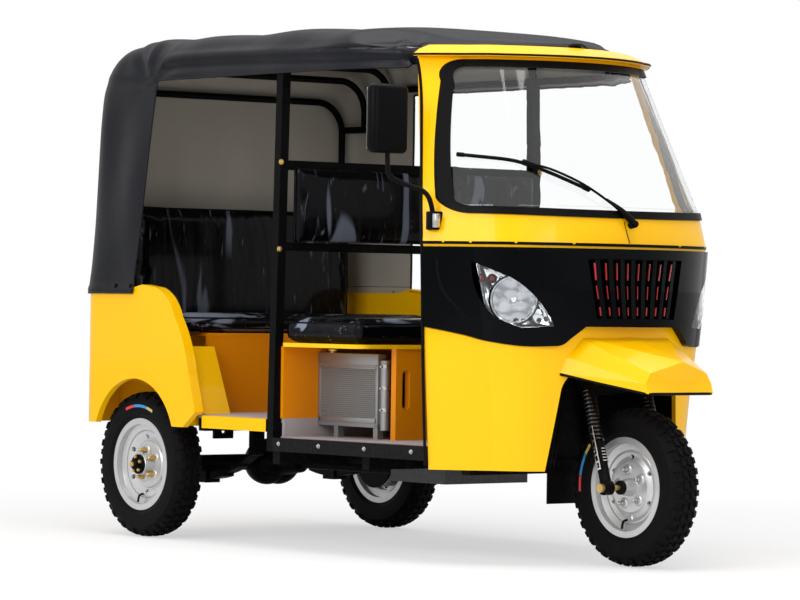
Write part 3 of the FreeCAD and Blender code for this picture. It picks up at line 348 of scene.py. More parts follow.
def make_grime_group():
    """Cloudy colour change, dust that gathers low down, and patchy gloss."""
    tree, start, end = group_tree(
        "Grime",
        [("Colour", "Color", None), ("Dust Colour", "Color", (0.35, 0.3, 0.24, 1)), ("Dust", "Float", 0.1),
         ("Cloud", "Float", 0.06), ("Roughness", "Float", 0.3), ("Patchiness", "Float", 0.08),
         ("Scale", "Float", 6.0)],
        [("Colour", "Color"), ("Roughness", "Float")],
    )
    place = own_place(tree)
    cloud = node(tree, "TexNoise", Detail=5.0, Roughness=0.6)
    fine = node(tree, "TexNoise", Scale=70.0, Detail=4.0, Roughness=0.65)
    for texture in (cloud, fine):
        tree.links.new(place, texture.inputs["Vector"])
    tree.links.new(start.outputs["Scale"], cloud.inputs["Scale"])
    height = node(tree, "SeparateXYZ")
    tree.links.new(place, height.inputs[0])
    low_down = maths(tree, "SUBTRACT", 1.0, ramp(tree, height.outputs["Z"], 0.1, 0.75))
    spread = maths(tree, "MULTIPLY", ramp(tree, fine.outputs["Fac"], 0.38, 0.72), cloud.outputs["Fac"])
    dusty = maths(tree, "MULTIPLY", maths(tree, "MULTIPLY_ADD", low_down, 0.8, 0.2), spread)
    dusty = maths(tree, "MULTIPLY", dusty, start.outputs["Dust"], clamp=True)
    cloudy = maths(tree, "SUBTRACT", cloud.outputs["Fac"], 0.5)
    shade = maths(tree, "ADD", 1.0, maths(tree, "MULTIPLY", cloudy, start.outputs["Cloud"]))
    tone = node(tree, "HueSaturation")
    tree.links.new(start.outputs["Colour"], tone.inputs["Color"])
    tree.links.new(shade, tone.inputs["Value"])
    colour = blended(tree, dusty, tone.outputs["Color"], start.outputs["Dust Colour"])
    rough = maths(tree, "MULTIPLY_ADD", maths(tree, "SUBTRACT", fine.outputs["Fac"], 0.5),
                  start.outputs["Patchiness"], start.outputs["Roughness"])
    rough = maths(tree, "ADD", rough, maths(tree, "MULTIPLY", dusty, 0.5), clamp=True)
    tree.links.new(colour, end.inputs["Colour"])
    tree.links.new(rough, end.inputs["Roughness"])
    return tree


def make_grain_group():
    """Moulded or sprayed grain as a height, from coarse cells and fine noise."""
    tree, start, end = group_tree(
        "Grain",
        [("Scale", "Float", 300.0), ("Pebble", "Float", 0.5), ("Wave", "Float", 0.0)],
        [("Height", "Float")],
    )
    place = own_place(tree)
    cells = node(tree, "TexVoronoi", feature="SMOOTH_F1", Smoothness=0.6)
    fine = node(tree, "TexNoise", Detail=3.0)
    wide = node(tree, "TexNoise", Scale=5.0, Detail=2.0)
    for texture in (cells, fine, wide):
        tree.links.new(place, texture.inputs["Vector"])
    for texture in (cells, fine):
        tree.links.new(start.outputs["Scale"], texture.inputs["Scale"])
    pebble = maths(tree, "MULTIPLY", cells.outputs["Distance"], start.outputs["Pebble"])
    height = maths(tree, "ADD", pebble, maths(tree, "MULTIPLY", fine.outputs["Fac"], 0.5))
    height = maths(tree, "ADD", height, maths(tree, "MULTIPLY", wide.outputs["Fac"], start.outputs["Wave"]))
    tree.links.new(height, end.inputs["Height"])
    return tree


def make_weave_group():
    """Plain woven threads as a height, over and under by turns along X and Y of the place given."""
    tree, start, end = group_tree(
        "Weave", [("Place", "Vector", None), ("Threads", "Float", 400.0)], [("Height", "Float")])
    axes = node(tree, "SeparateXYZ")
    tree.links.new(start.outputs["Place"], axes.inputs[0])
    waves = []
    for axis in ("X", "Y"):
        turn = maths(tree, "MULTIPLY", axes.outputs[axis], start.outputs["Threads"])
        waves.append(maths(tree, "SINE", maths(tree, "MULTIPLY", turn, math.pi)))
    over = maths(tree, "MULTIPLY", waves[0], waves[1])
    tree.links.new(maths(tree, "MULTIPLY_ADD", over, 0.5, 0.5), end.inputs["Height"])
    return tree


GRIME = make_grime_group()
GRAIN = make_grain_group()
WEAVE = make_weave_group()


def placed(tree, group, **values):
    """A node group in a material, with its own values."""
    made = tree.nodes.new("ShaderNodeGroup")
    made.node_tree = group
    for key, value in values.items():
        made.inputs[key.replace("_", " ")].default_value = value
    return made


def finish_of(name, **values):
    """A new material and its Principled shader, with plain values set on the shader's own sockets."""
    material = bpy.data.materials.new(name)
    material.use_nodes = True
    tree = material.node_tree
    shader = tree.nodes["Principled BSDF"]
    for key, value in values.items():
        shader.inputs[key.replace("_", " ")].default_value = value
    return material, tree, shader


def add_bump(tree, shader, height, strength, distance):
    bump = node(tree, "Bump", Strength=strength, Distance=distance)
    tree.links.new(height, bump.inputs["Height"])
    tree.links.new(bump.outputs["Normal"], shader.inputs["Normal"])


def add_grime(tree, shader, **values):
    """Places the grime group, which gives the shader its colour and its gloss."""
    grime = placed(tree, GRIME, **values)
    tree.links.new(grime.outputs["Colour"], shader.inputs["Base Color"])
    tree.links.new(grime.outputs["Roughness"], shader.inputs["Roughness"])
    return grime


def add_grain(tree, shader, scale, pebble, wave, strength, distance):
    """Places the grain group as a bump of some strength and depth."""
    texture = placed(tree, GRAIN, Scale=scale, Pebble=pebble, Wave=wave)
    add_bump(tree, shader, texture.outputs["Height"], strength, distance)


def woven(tree, threads):
    """The height of a cloth's threads, so many to the metre, over the piece's own place."""
    weave = placed(tree, WEAVE, Threads=threads)
    tree.links.new(own_place(tree), weave.inputs["Place"])
    return weave.outputs["Height"]


def worn_finish(name, colour, rough, dust=0.1, cloud=0.08, patch=0.1, grain=None, **values):
    """A finish with grime, and grain where (scale, pebble, wave, strength, distance) is given."""
    material, tree, shader = finish_of(name, **values)
    add_grime(tree, shader, Colour=colour, Dust=dust, Cloud=cloud, Roughness=rough, Patchiness=patch)
    if grain:
        add_grain(tree, shader, *grain)
    return material


PAINT_GRAIN = (900, 0.5, 1.2, 0.05, 0.002)
LENS_GRAIN = (260, 1.0, 0.0, 0.3, 0.002)

YELLOW = worn_finish(
    "yellow_gloss_paint", linear(250, 189, 1), 0.3, dust=0.04, cloud=0.05, grain=PAINT_GRAIN,
    Coat_Weight=0.22, Coat_Roughness=0.05, Specular_IOR_Level=0.1)
BLACK_PAINT = worn_finish(
    "black_chassis_paint", linear(6, 6, 7), 0.38, dust=0.05, grain=(500, 0.5, 0.3, 0.15, 0.001),
    Specular_IOR_Level=0.04)
BLACK_GLOSS = worn_finish(
    "black_gloss_plastic", linear(3, 4, 6), 0.14, dust=0.01, grain=(1200, 0.4, 1.0, 0.04, 0.002),
    Specular_IOR_Level=0.07)
BLACK_SATIN = worn_finish(
    "black_satin_plastic", linear(6, 6, 8), 0.3, dust=0.02, grain=(1500, 0.8, 0.2, 0.25, 0.0006),
    Specular_IOR_Level=0.05)
WHEEL_SILVER = worn_finish(
    "wheel_silver_paint", linear(196, 197, 198), 0.3, dust=0.16, cloud=0.1,
    grain=(800, 0.5, 0.4, 0.08, 0.001), Metallic=0.6)
STEEL = worn_finish("bright_steel", linear(190, 190, 188), 0.26, dust=0.1, patch=0.25, Metallic=1.0)
CHROME = worn_finish("lamp_chrome", linear(236, 237, 240), 0.07, dust=0.0, patch=0.05, Metallic=1.0)
BRASS = worn_finish("plated_brass", linear(204, 172, 104), 0.34, dust=0.1, patch=0.2, Metallic=0.9)
TYRE = worn_finish(
    "tyre_rubber", linear(11, 11, 13), 0.55, dust=0.02, cloud=0.2, grain=(420, 0.8, 0.3, 0.4, 0.0012),
    Specular_IOR_Level=0.05)
RUBBER = worn_finish(
    "black_rubber", linear(8, 8, 9), 0.4, dust=0.02, grain=(900, 0.7, 0.2, 0.3, 0.0008),
    Specular_IOR_Level=0.06)
SPRING_BLACK = worn_finish("gloss_black_spring", linear(10, 10, 11), 0.16, dust=0.02, Specular_IOR_Level=0.8)
ENGINE = worn_finish(
    "cast_engine_grey", linear(70, 70, 73), 0.62, dust=0.3, cloud=0.3, grain=(180, 1.0, 0.5, 0.6, 0.003))
GREY_PLASTIC = worn_finish(
    "grey_moulded_plastic", linear(38, 39, 42), 0.5, dust=0.05, grain=(1100, 1.0, 0.2, 0.4, 0.0008),
    Specular_IOR_Level=0.2)
RADIATOR = worn_finish(
    "radiator_alloy", linear(150, 150, 151), 0.4, dust=0.1, patch=0.25, cloud=0.15, Metallic=0.7)
FIN_METAL = worn_finish(
    "radiator_fin_alloy", linear(150, 150, 150), 0.5, dust=0.2, patch=0.3, Metallic=0.5)
MAT = worn_finish(
    "floor_mat_grey", linear(168, 161, 163), 0.6, dust=0.15, cloud=0.2, grain=(260, 1.0, 0.2, 0.5, 0.001))
# A darker, more orange copy of the yellow paint: painted shade for the partition panel and the bench base,
# which stand in shade.
SHADED_YELLOW = worn_finish(
    "yellow_paint_with_painted_shade", linear(226, 136, 4), 0.32, dust=0.05, cloud=0.08, grain=PAINT_GRAIN,
    Coat_Weight=0.2, Coat_Roughness=0.06, Specular_IOR_Level=0.12)


def make_glass(name, tint, rough=0.01):
    """Clear glass or plastic whose gloss is a little smeared."""
    material, tree, shader = finish_of(
        name, Base_Color=tint, Metallic=0.0, Roughness=rough, IOR=1.45, Transmission_Weight=1.0)
    smear = placed(tree, GRIME, Colour=tint, Dust=0.0, Cloud=0.0, Roughness=rough, Patchiness=0.02, Scale=3.0)
    tree.links.new(smear.outputs["Roughness"], shader.inputs["Roughness"])
    return material


GLASS = make_glass("clear_glass", (0.97, 0.985, 0.99, 1))
RED_LENS = worn_finish(
    "red_lamp_lens", linear(160, 8, 8), 0.15, dust=0.02, grain=LENS_GRAIN, Coat_Weight=0.15,
    Specular_IOR_Level=0.2)
AMBER_LENS = worn_finish(
    "amber_lamp_lens", linear(236, 120, 10), 0.12, dust=0.05, grain=LENS_GRAIN,
    Coat_Weight=0.5)


def make_film(name, stretch, turn, big, share_of_painted_highlights):
    """Black vinyl under a loose clear wrapper: glossy and crinkled, with pale pulled streaks that are painted
    highlights on the wrapper.
    """
    material, tree, shader = finish_of(name, Coat_Weight=0.12, Coat_Roughness=0.08, Specular_IOR_Level=0.05)
    turned = node(tree, "Mapping", Rotation=turn, Scale=stretch)
    tree.links.new(own_place(tree), turned.inputs["Vector"])
    pulled = node(tree, "TexNoise", Scale=big, Detail=2.0, Roughness=0.45, Distortion=0.9)
    fine = node(tree, "TexNoise", Scale=big * 3.2, Detail=3.0, Roughness=0.55, Distortion=1.2)
    for texture in (pulled, fine):
        tree.links.new(turned.outputs["Vector"], texture.inputs["Vector"])
    # Pale streaks and hairlines mixed into the black base colour are painted highlights of the crinkled
    # wrapper.
    painted_highlight_streak = maths(tree, "MULTIPLY", ramp(tree, pulled.outputs["Fac"], 0.585, 0.65), share_of_painted_highlights)
    painted_highlight_hair = maths(tree, "MULTIPLY", ramp(tree, fine.outputs["Fac"], 0.63, 0.70), share_of_painted_highlights * 0.7)
    share = maths(tree, "MAXIMUM", painted_highlight_streak, painted_highlight_hair)
    # The pale blue-grey is the colour of the painted highlights.
    colour = blended(tree, share, linear(3, 4, 7), linear(132, 139, 156))
    tree.links.new(colour, shader.inputs["Base Color"])
    rough = maths(tree, "MULTIPLY_ADD", fine.outputs["Fac"], 0.25, 0.12)
    tree.links.new(rough, shader.inputs["Roughness"])
    height = maths(tree, "MULTIPLY_ADD", fine.outputs["Fac"], 0.25, pulled.outputs["Fac"])
    add_bump(tree, shader, height, 0.5, 0.02)
    return material


# Both wrappers carry painted highlights in their base colour; the seats' one has more and broader ones.
FILM = make_film("wrapped_vinyl", (1.2, 5.0, 1.1), (0.3, 0.0, 0.0), 1.7, 0.5)
SEAT_FILM = make_film("wrapped_seat_vinyl", (3.0, 1.3, 6.0), (0.0, 0.2, 0.15), 2.6, 0.75)


def two_tone_and_painted_shade(name, axis, split, below, above, **values):
    """Gloss paint whose colour changes at a place along an axis: two colours of paint on the sills, and
    yellow over painted shade on the seat box.
    """
    material, tree, shader = finish_of(name, Coat_Roughness=0.06, **values)
    place = node(tree, "SeparateXYZ")
    tree.links.new(own_place(tree), place.inputs[0])
    share = ramp(tree, place.outputs[axis], split - 0.0005, split + 0.0005)
    grime = add_grime(tree, shader, Dust=0.05, Cloud=0.06, Roughness=0.32, Patchiness=0.1)
    tree.links.new(blended(tree, share, below, above), grime.inputs["Colour"])
    add_grain(tree, shader, *PAINT_GRAIN)
    return material


SILL_PAINT = two_tone_and_painted_shade("sill_paint", "X", -0.17, linear(250, 189, 1), linear(6, 6, 7), Specular_IOR_Level=0.1)
# The seat box is orange below its board as painted shade, and yellow on the board.
SEAT_BOX_SHADED_BELOW = two_tone_and_painted_shade("seat_box_painted_shade_and_board", "Z", 0.7115, linear(226, 136, 4), linear(252, 192, 2),
                    Specular_IOR_Level=0.12, Coat_Weight=0.2)

CAD_FINISHES = {
    "yellow_paint": YELLOW, "black_paint": BLACK_PAINT, "wheel_silver": WHEEL_SILVER, "tyre": TYRE,
    "bright_steel": STEEL, "floor_mat": MAT, "black_rubber": RUBBER, "seat_vinyl": BLACK_SATIN,
    "radiator_alloy": RADIATOR, "engine_grey": ENGINE, "black_plastic": BLACK_GLOSS,
    "grey_plastic": GREY_PLASTIC, "lamp_silver": CHROME, "clear_glass": GLASS, "red_lamp": RED_LENS,
    "canopy_fabric": BLACK_SATIN,
}


# nodes whose finish isn't the one of their slot
OWN_FINISHES = {
    # The partition panel and the bench base get the yellow paint's painted-shade copy, and the seat box has
    # it below its board.
    "partition_panel": SHADED_YELLOW, "driver_seat_base": SEAT_BOX_SHADED_BELOW, "sills": SILL_PAINT,
    "bench_base": SHADED_YELLOW, "front_axle": BRASS,
    # The toe board is black all over, which makes the space behind the front wheel dark.
    "toe_board": BLACK_PAINT, "fork_springs": BLACK_PAINT, "fork": BLACK_PAINT,
}


def finish_cad_nodes():
    """Every CAD node gets its finish on each of its material places."""
    for part in frame["record"]["subparts"]:
        mesh = nodes[part["node"]].data
        material = CAD_FINISHES[part["material_slot"]]
        if not mesh.materials:
            mesh.materials.append(material)
        for i in range(len(mesh.materials)):
            mesh.materials[i] = material
    for name, material in OWN_FINISHES.items():
        for i in range(len(nodes[name].data.materials)):
            nodes[name].data.materials[i] = material


finish_cad_nodes()


# ---- wheels
TREAD_PITCHES = 44
STEPS_PER_PITCH = 5
TREAD_STEPS = TREAD_PITCHES * STEPS_PER_PITCH
TREAD_DEPTH = 0.0068
LUG_SLANT = 1.5  # radians of twist per metre away from the crown's middle
LUG_SLANT_REACH = 0.03  # farther out than this the twist stays the same
TREAD_EDGE = 0.238  # smallest radius of a face that may be a block
# from the tyre's middle plane in mm: the middle blocks, the outer blocks, and the shoulder blocks
MIDDLE_BLOCKS = (4, 23)
OUTER_BLOCKS = 28.5
SHOULDER_BLOCKS = (43.5, 51)
# (radius, distance from the tyre's middle plane) of half the tyre, from the bead to the crown, in mm
TYRE_SIDE = (
    (156, 46), (170, 46.5), (179, 51.5), (183, 54.6), (186, 55.4), (189, 55.2), (208, 57.6), (222, 57),
    (229, 55.9), (231, 56.5), (233, 55.3), (240, 51.5), (251, 44), (257, 29), (258, 23), (258.6, 4),
)


def tyre_piece(name, centre, body):
    """A tyre with staggered, slanted tread blocks, long and short by turns at the shoulders."""
    half = [(-away * MM, radius * MM) for radius, away in TYRE_SIDE]
    rings = half + [(-away, radius) for away, radius in reversed(half)] + half[:1]
    tyre = lathe(rings, (0, 0, 0), (0, 0, 1), TREAD_STEPS)

    def is_block(face):
        place = face.calc_center_median()
        away = abs(place.z) / MM
        step = int((math.atan2(place.y, place.x) / math.tau % 1) * TREAD_STEPS)
        if place.xy.length < TREAD_EDGE or away > SHOULDER_BLOCKS[1]:
            return False
        stagger = 2 if place.z > 0 else 0
        pitch, part = divmod((step + stagger) % TREAD_STEPS, STEPS_PER_PITCH)
        if away > SHOULDER_BLOCKS[0]:
            return part < 3 and pitch % 2 == 0
        if away > OUTER_BLOCKS:
            return part < 3
        return MIDDLE_BLOCKS[0] < away < MIDDLE_BLOCKS[1] and (part + 3) % STEPS_PER_PITCH < 3

    choose(tyre, is_block)
    bpy.ops.mesh.inset(thickness=0.0013, depth=TREAD_DEPTH, use_boundary=True, use_even_offset=True)
    bpy.ops.object.mode_set(mode="OBJECT")
    for point in tyre.data.vertices:
        turn = LUG_SLANT * min(abs(point.co.z), LUG_SLANT_REACH) * math.copysign(1, point.co.z)
        point.co = Matrix.Rotation(turn, 3, "Z") @ point.co
    tyre.matrix_world = Matrix.Translation(centre) @ Matrix.Rotation(-math.pi / 2, 4, "X")
    return put(tyre, name, body, TYRE, 40)


BAND_RADII = (0.2085, 0.2185)
BAND_AWAY = 0.0582  # from the tyre's middle plane, just proud of the sidewall
BAND_THICKNESS = 0.0006
BAND_STEPS = 10


def stripe(centre, side, start, sweep, material):
    """A coloured band printed along a tyre's outer sidewall, side -1 for the right."""
    deselect()
    bpy.ops.mesh.primitive_plane_add(size=1)
    band = bpy.context.object
    choose(band, lambda edge: max(point.co.y for point in edge.verts) < 0, "EDGE")
    bpy.ops.mesh.select_all(action="INVERT")
    bpy.ops.mesh.delete(type="EDGE")
    bpy.ops.object.mode_set(mode="OBJECT")
    for point, radius in zip(band.data.vertices, BAND_RADII):
        point.co = (radius * math.cos(start), BAND_AWAY * side, radius * math.sin(start))
    open_mesh(band)
    bpy.ops.mesh.spin(steps=BAND_STEPS, angle=-sweep, center=(0, 0, 0), axis=(0, 1, 0))
    bpy.ops.object.mode_set(mode="OBJECT")
    tidy_mesh(band)
    band.matrix_world = Matrix.Translation(centre)
    settle(band)
    thicken(band, BAND_THICKNESS)
    band.data.materials.append(material)
    return band


STRIPE_RED = worn_finish("tyre_band_red", linear(214, 48, 56), 0.5, dust=0.2)
STRIPE_BLUE = worn_finish("tyre_band_blue", linear(40, 140, 204), 0.5, dust=0.2)
STRIPE_YELLOW = worn_finish("tyre_band_yellow", linear(196, 178, 96), 0.5, dust=0.2)


def colour_bands(name, centre, body, side, start):
    """Red, blue and yellow in one run round the sidewall, each (how far after start, length) in radians."""
    runs = ((0, 0.24, STRIPE_RED), (0.25, 0.36, STRIPE_BLUE), (0.62, 0.18, STRIPE_YELLOW))
    bands = [stripe(centre, side, start - after, length, material) for after, length, material in runs]
    band = joined(bands)
    band.name = name
    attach(band, body)


def ring_of(centre, away, radius, first, count=5):
    """Places in a circle about a wheel's axis, away from its middle plane."""
    turns = [first + math.tau * i / count for i in range(count)]
    return [centre + Vector((radius * math.cos(turn), away, radius * math.sin(turn))) for turn in turns]


def wheel_face(tree, centre, side, radius, turn=0.3):
    """How far from a wheel's middle plane the rim's face is at a radius, on the right (-1) or left (1)."""
    start = centre + Vector((radius * math.cos(turn), 0.2 * side, radius * math.sin(turn)))
    hit = tree.ray_cast(start, Vector((0, -side, 0)))[0]
    return (hit.y if hit else centre[1]) - centre[1]


NUT_TURN = math.radians(100)  # where the first wheel nut stands
NUT_CIRCLE = {"front": 0.060, "rear": 0.052}
NUT_HEIGHT = {"front": 0.011, "rear": 0.017}
NUT_METAL = {"front": STEEL, "rear": BRASS}
VALVE_RADIUS = 0.112
VALVE_TURN = -1.75
HUB_BOLT_CIRCLE = 0.0265


def wheel_nuts(label, body, tree, centre, side, end):
    """Five nuts on raised bosses, on the outer face of a rim. end is front or rear."""
    out = Vector((0, side, 0))
    circle = NUT_CIRCLE[end]
    places = ring_of(centre, wheel_face(tree, centre, side, circle), circle, NUT_TURN)
    boss = [(0, 0.0195), (0.002, 0.0185), (0.0045, 0.0145), (0.005, 0.012)]
    bosses = [lathe(boss, place - out * 0.0005, out, 24) for place in places]
    put(joined(bosses), label + "_nut_bosses", body, WHEEL_SILVER)
    height = NUT_HEIGHT[end]
    stud = [(0, 0.0065), (0.012, 0.0065), (0.0145, 0.004)]
    nuts = []
    for place in places:
        nuts.append(bolt(place + out * 0.0045, out, 0.021, height))
        nuts.append(lathe(stud, place + out * (height + 0.003), out, 12))
    put(joined(nuts), label + "_wheel_nuts", body, NUT_METAL[end])


def valve_stem(label, body, tree, centre, side):
    """A rubber stem through the rim, bent down at its outer end."""
    out = Vector((0, side, 0))
    face = wheel_face(tree, centre, side, VALVE_RADIUS, VALVE_TURN)
    valve = centre + Vector((VALVE_RADIUS * math.cos(VALVE_TURN), face, VALVE_RADIUS * math.sin(VALVE_TURN)))
    line = [valve - out * 0.012, valve + out * 0.012, valve + out * 0.02 + Vector((0, 0, -0.012)),
            valve + out * 0.022 + Vector((0, 0, -0.03))]
    put(bent_bar(line, 0.0042, detail=6), label + "_valve_stem", body, RUBBER)


def hub_cap(label, body, tree, centre, side):
    """The rear hub's cap with five small bolts and one in the middle."""
    out = Vector((0, side, 0))
    face = abs(wheel_face(tree, centre, side, 0.012))
    hub = centre + out * face
    cap = [(-0.004, 0.036), (0.008, 0.036), (0.012, 0.033), (0.013, 0.018), (0.026, 0.0175), (0.029, 0.013)]
    put(lathe(cap, hub, out), label + "_hub_cap", body, BLACK_PAINT)
    places = ring_of(centre, side * (face + 0.011), HUB_BOLT_CIRCLE, 0.4)
    bolts = [bolt(place, out, 0.013, 0.009) for place in places]
    bolts.append(bolt(hub + out * 0.028, out, 0.020, 0.011))
    put(joined(bolts), label + "_hub_bolts", body, BRASS)


def make_wheels():
    """Tyre, bands, nuts and valve for each wheel, and a hub cap for the rear ones."""
    wheels = (
        ("front", "front_tyre", "front_rim", "front_wheel", -1, math.radians(186)),
        ("rear_right", "rear_tyre_right", "rear_rim_right", "rear_wheel_right", -1, math.radians(112)),
        ("rear_left", "rear_tyre_left", "rear_rim_left", "rear_wheel_left", 1, math.radians(70)),
    )
    for label, tyre_node, rim_node, body, side, band_start in wheels:
        low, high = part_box(tyre_node)
        centre = (low + high) / 2
        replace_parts(tyre_piece(label + "_tyre_treaded", centre, body), tyre_node)
        colour_bands(label + "_tyre_bands", centre, body, side, band_start)
        tree = surface_of(rim_node)
        wheel_nuts(label, body, tree, centre, side, label.split("_")[0])
        valve_stem(label, body, tree, centre, side)
        if label != "front":
            hub_cap(label, body, tree, centre, side)


make_wheels()


# ---- canopy
# height above the hem, how far the rear face and the sides have come in, growth of the corner radius, in mm
COVER_LEVELS = (
    (0, 0, 0, 0), (28, 0, 0, 0), (258, 9, 15, 0), (508, 13, 32, 5), (708, 13, 45, 2), (775, 30, 50, 2),
    (811, 46, 52, 2), (863, 94, 63, 0), (906, 168, 92, 0), (927, 248, 134, 0), (938, 324, 229, 0),
    (943, 420, 409, 0), (944, 520, 656, -108),
)
DOOR_LEVEL = 5  # the doorways' upper edge
DOOR_EDGE = 12  # x of the doorways' rear edge at the hem, from the rear axle
DOOR_LEAN = 66  # how far that edge leans forward up to the door level
COVER_SKIN = 3
COVER_STEPS = 7  # rows between two levels
BACK_COLUMNS = 46
SIDE_COLUMNS = 96
COVER_CORNER = 114  # radius of the upright rear corners at the hem
COVER_WALL = 0.0024
CORD_DETAIL = 2
HEM_CORD = 0.0042
HEM_STITCH = 0.0016
HEM_STITCH_LEVEL = 0.930
AXLE = 949.5  # from the rear axle to the origin
# lengths below are in mm, with x from the rear axle and z from the ground
ROOF_FOOT = 1748  # level at which the roof rises from the visor
TAPER_START, TAPER_LENGTH, TAPER_CURVE = 1100, 350, 2.24
EDGE_ROUND = 9
# (distance along the slant across a front quarter, height over the crown) that the skin stays under
FRONT_SLOPE = ((0, 60), (900, 20), (1150, -20), (1180, -48), (1212, -76), (1330, -145), (1500, -250))
HELD_DOWN = (-296, -180, -50, 300, 800, 1250, 1620)  # x where the skin can't sag


def bent_through(rows, s):
    """A smooth value between the rows of a table, s counting rows."""
    i = min(int(s), len(rows) - 2)
    t = s - i
    a, b, c, d = (rows[max(0, min(len(rows) - 1, k))] for k in (i - 1, i, i + 1, i + 2))
    made = []
    for p, q, r, w in zip(a, b, c, d):
        value = q + 0.5 * t * (r - p + t * (2 * p - 5 * q + 4 * r - w + t * (3 * (q - r) + w - p)))
        made.append(max(min(q, r), min(max(q, r), value)))
    return made


def eased(value, low, high):
    """0 below low, 1 above high, smooth between."""
    t = max(0.0, min(1.0, (value - low) / (high - low)))
    return t * t * (3 - 2 * t)


def roof_fall(x):
    """How much of the roof's height above its foot is left at x, as it falls towards the front."""
    drop = 11 * eased(x, 900, 1250) + max(0, x - 1250) * 0.178
    return max(0.03, 1 - drop / 88)


def front_edge(y):
    """x of the roof's front hem at distance y from the middle."""
    if y < 264:
        return 1698 - 77 * (y / 264) ** 2
    if y < 357:
        return 1621 - 79 * (y - 264) / 93
    return 1542 - 162 * (y - 357) / 443


def round_the_back(run, rear, half, bend):
    """(x, y) after a run from the middle of the back, round the corner and along the side."""
    flat, arc = half - bend, bend * math.pi / 2
    if run < flat:
        return rear, -run
    if run < flat + arc and bend > 0:
        turn = (run - flat) / bend
        return rear + bend * (1 - math.cos(turn)), -(flat + bend * math.sin(turn))
    return rear + bend + run - flat - arc, -half


def tapered(x, half, inset):
    """How far the skin's side is from the middle at x, as it draws in towards the front."""
    return max(0.0, half - inset * max(0.0, (x - TAPER_START) / TAPER_LENGTH) ** TAPER_CURVE)


def front_end(z, half, inset):
    """x where a row ends in front: by the front post below the roof, on the roof's front hem above."""
    if z < ROOF_FOOT - 1:
        return 1404 + 36 * max(0.0, (z - 1667) / 79)
    end = 1540
    for _ in range(12):
        end = front_edge(tapered(end, half, inset))
    return end


def under_slope(x, y, z, top):
    """z held under the slope of the roof's front quarters, with a rounded edge."""
    slant = 0.631 * x + 0.776 * y
    for (u, low), (w, high) in zip(FRONT_SLOPE, FRONT_SLOPE[1:]):
        if u <= slant < w:
            limit = top + low + (high - low) * (slant - u) / (w - u)
            both = math.exp(-(z - top) / EDGE_ROUND) + math.exp(-(limit - top) / EDGE_ROUND)
            return top - EDGE_ROUND * math.log(both)
    return z


def cover_point(level, column, hem, rear, half):
    """A point of the skin's right half: columns run from the middle of the back round to the front."""
    up, rear_in, side_in, growth = level
    z = hem + up
    rear = rear + rear_in + COVER_SKIN
    half = max(0.0, half - side_in - COVER_SKIN)
    bend = max(0.0, min(half, COVER_CORNER + growth - COVER_SKIN))
    door = DOOR_EDGE + DOOR_LEAN * min(1.0, up / COVER_LEVELS[DOOR_LEVEL][0])
    start = max(door, rear + bend + 10)
    if column <= BACK_COLUMNS:
        length = half - bend + bend * math.pi / 2 + start - rear - bend
        return (*round_the_back(length * column / BACK_COLUMNS, rear, half, bend), z)
    inset = 144 * min(1.0, half / 430) * (1 + 0.25 * eased(z, 1703, 1763))
    x = start + (front_end(z, half, inset) - start) * (column - BACK_COLUMNS) / SIDE_COLUMNS
    y = tapered(x, half, inset)
    if z > ROOF_FOOT:
        z = ROOF_FOOT + (z - ROOF_FOOT) * roof_fall(x)
    return x, -y, under_slope(x, y, z, hem + COVER_LEVELS[-1][0])


def cover_relief(x, y, z):
    """How far the fabric stands out at a place in mm: sag between hoops, slack and pulled folds."""
    roof = eased(z, 1740, 1800)
    sag = 0.0
    for here, there in zip(HELD_DOWN, HELD_DOWN[1:]):
        if here < x < there:
            sag = math.sin(math.pi * (x - here) / (there - here)) ** 2 * min(9.0, (there - here) * 0.02)
    out = -sag * roof
    side = eased(z, 1664, 1690) * (1 - eased(z, 1770, 1810)) * eased(x, 60, 160)
    out += side * (2.2 * math.sin(x / 120) + 1.2 * math.sin(x / 47 + z / 60))
    roll = 1738 + 9 * math.sin(x / 260)
    rolled = 10 * math.exp(-((z - roll) / 18) ** 2) - 8 * math.exp(-((z - roll + 38) / 14) ** 2)
    out += eased(x, 60, 160) * rolled
    near_back = math.exp(-((x + 20) / 150) ** 2) * math.exp(-((z - 1750) / 80) ** 2) * eased(abs(y), 300, 500)
    fan = math.atan2(z - 1640, x - 40)
    pulled = 5.5 * math.sin(fan * 7.5 + 0.6) + 2.5 * math.sin(fan * 19 + x / 90) + 1.5 * math.sin(x / 17)
    out += near_back * pulled
    lower = 1 - eased(z, 1500, 1640)
    out += lower * 2.4 * math.sin((x * 0.9 + abs(y) * 0.8) / 31 + z / 260) * eased(z, 900, 1000)
    out += lower * 3.2 * math.sin((x + abs(y)) / 55 - z / 140) * eased(z, 892, 960)
    out += 3.0 * math.exp(-((z - 905) / 9) ** 2) - 2.5 * math.exp(-((z - 927) / 5) ** 2)
    ridge, valley = (math.exp(-((x - foot - (1790 - z) * 0.55) / 16) ** 2) * eased(abs(y), 380, 470)
                     for foot in (1330, 1362))
    out += 9 * ridge - 11 * valley
    flare = (1 - eased(z, 892, 925)) * 2.0
    return out + flare


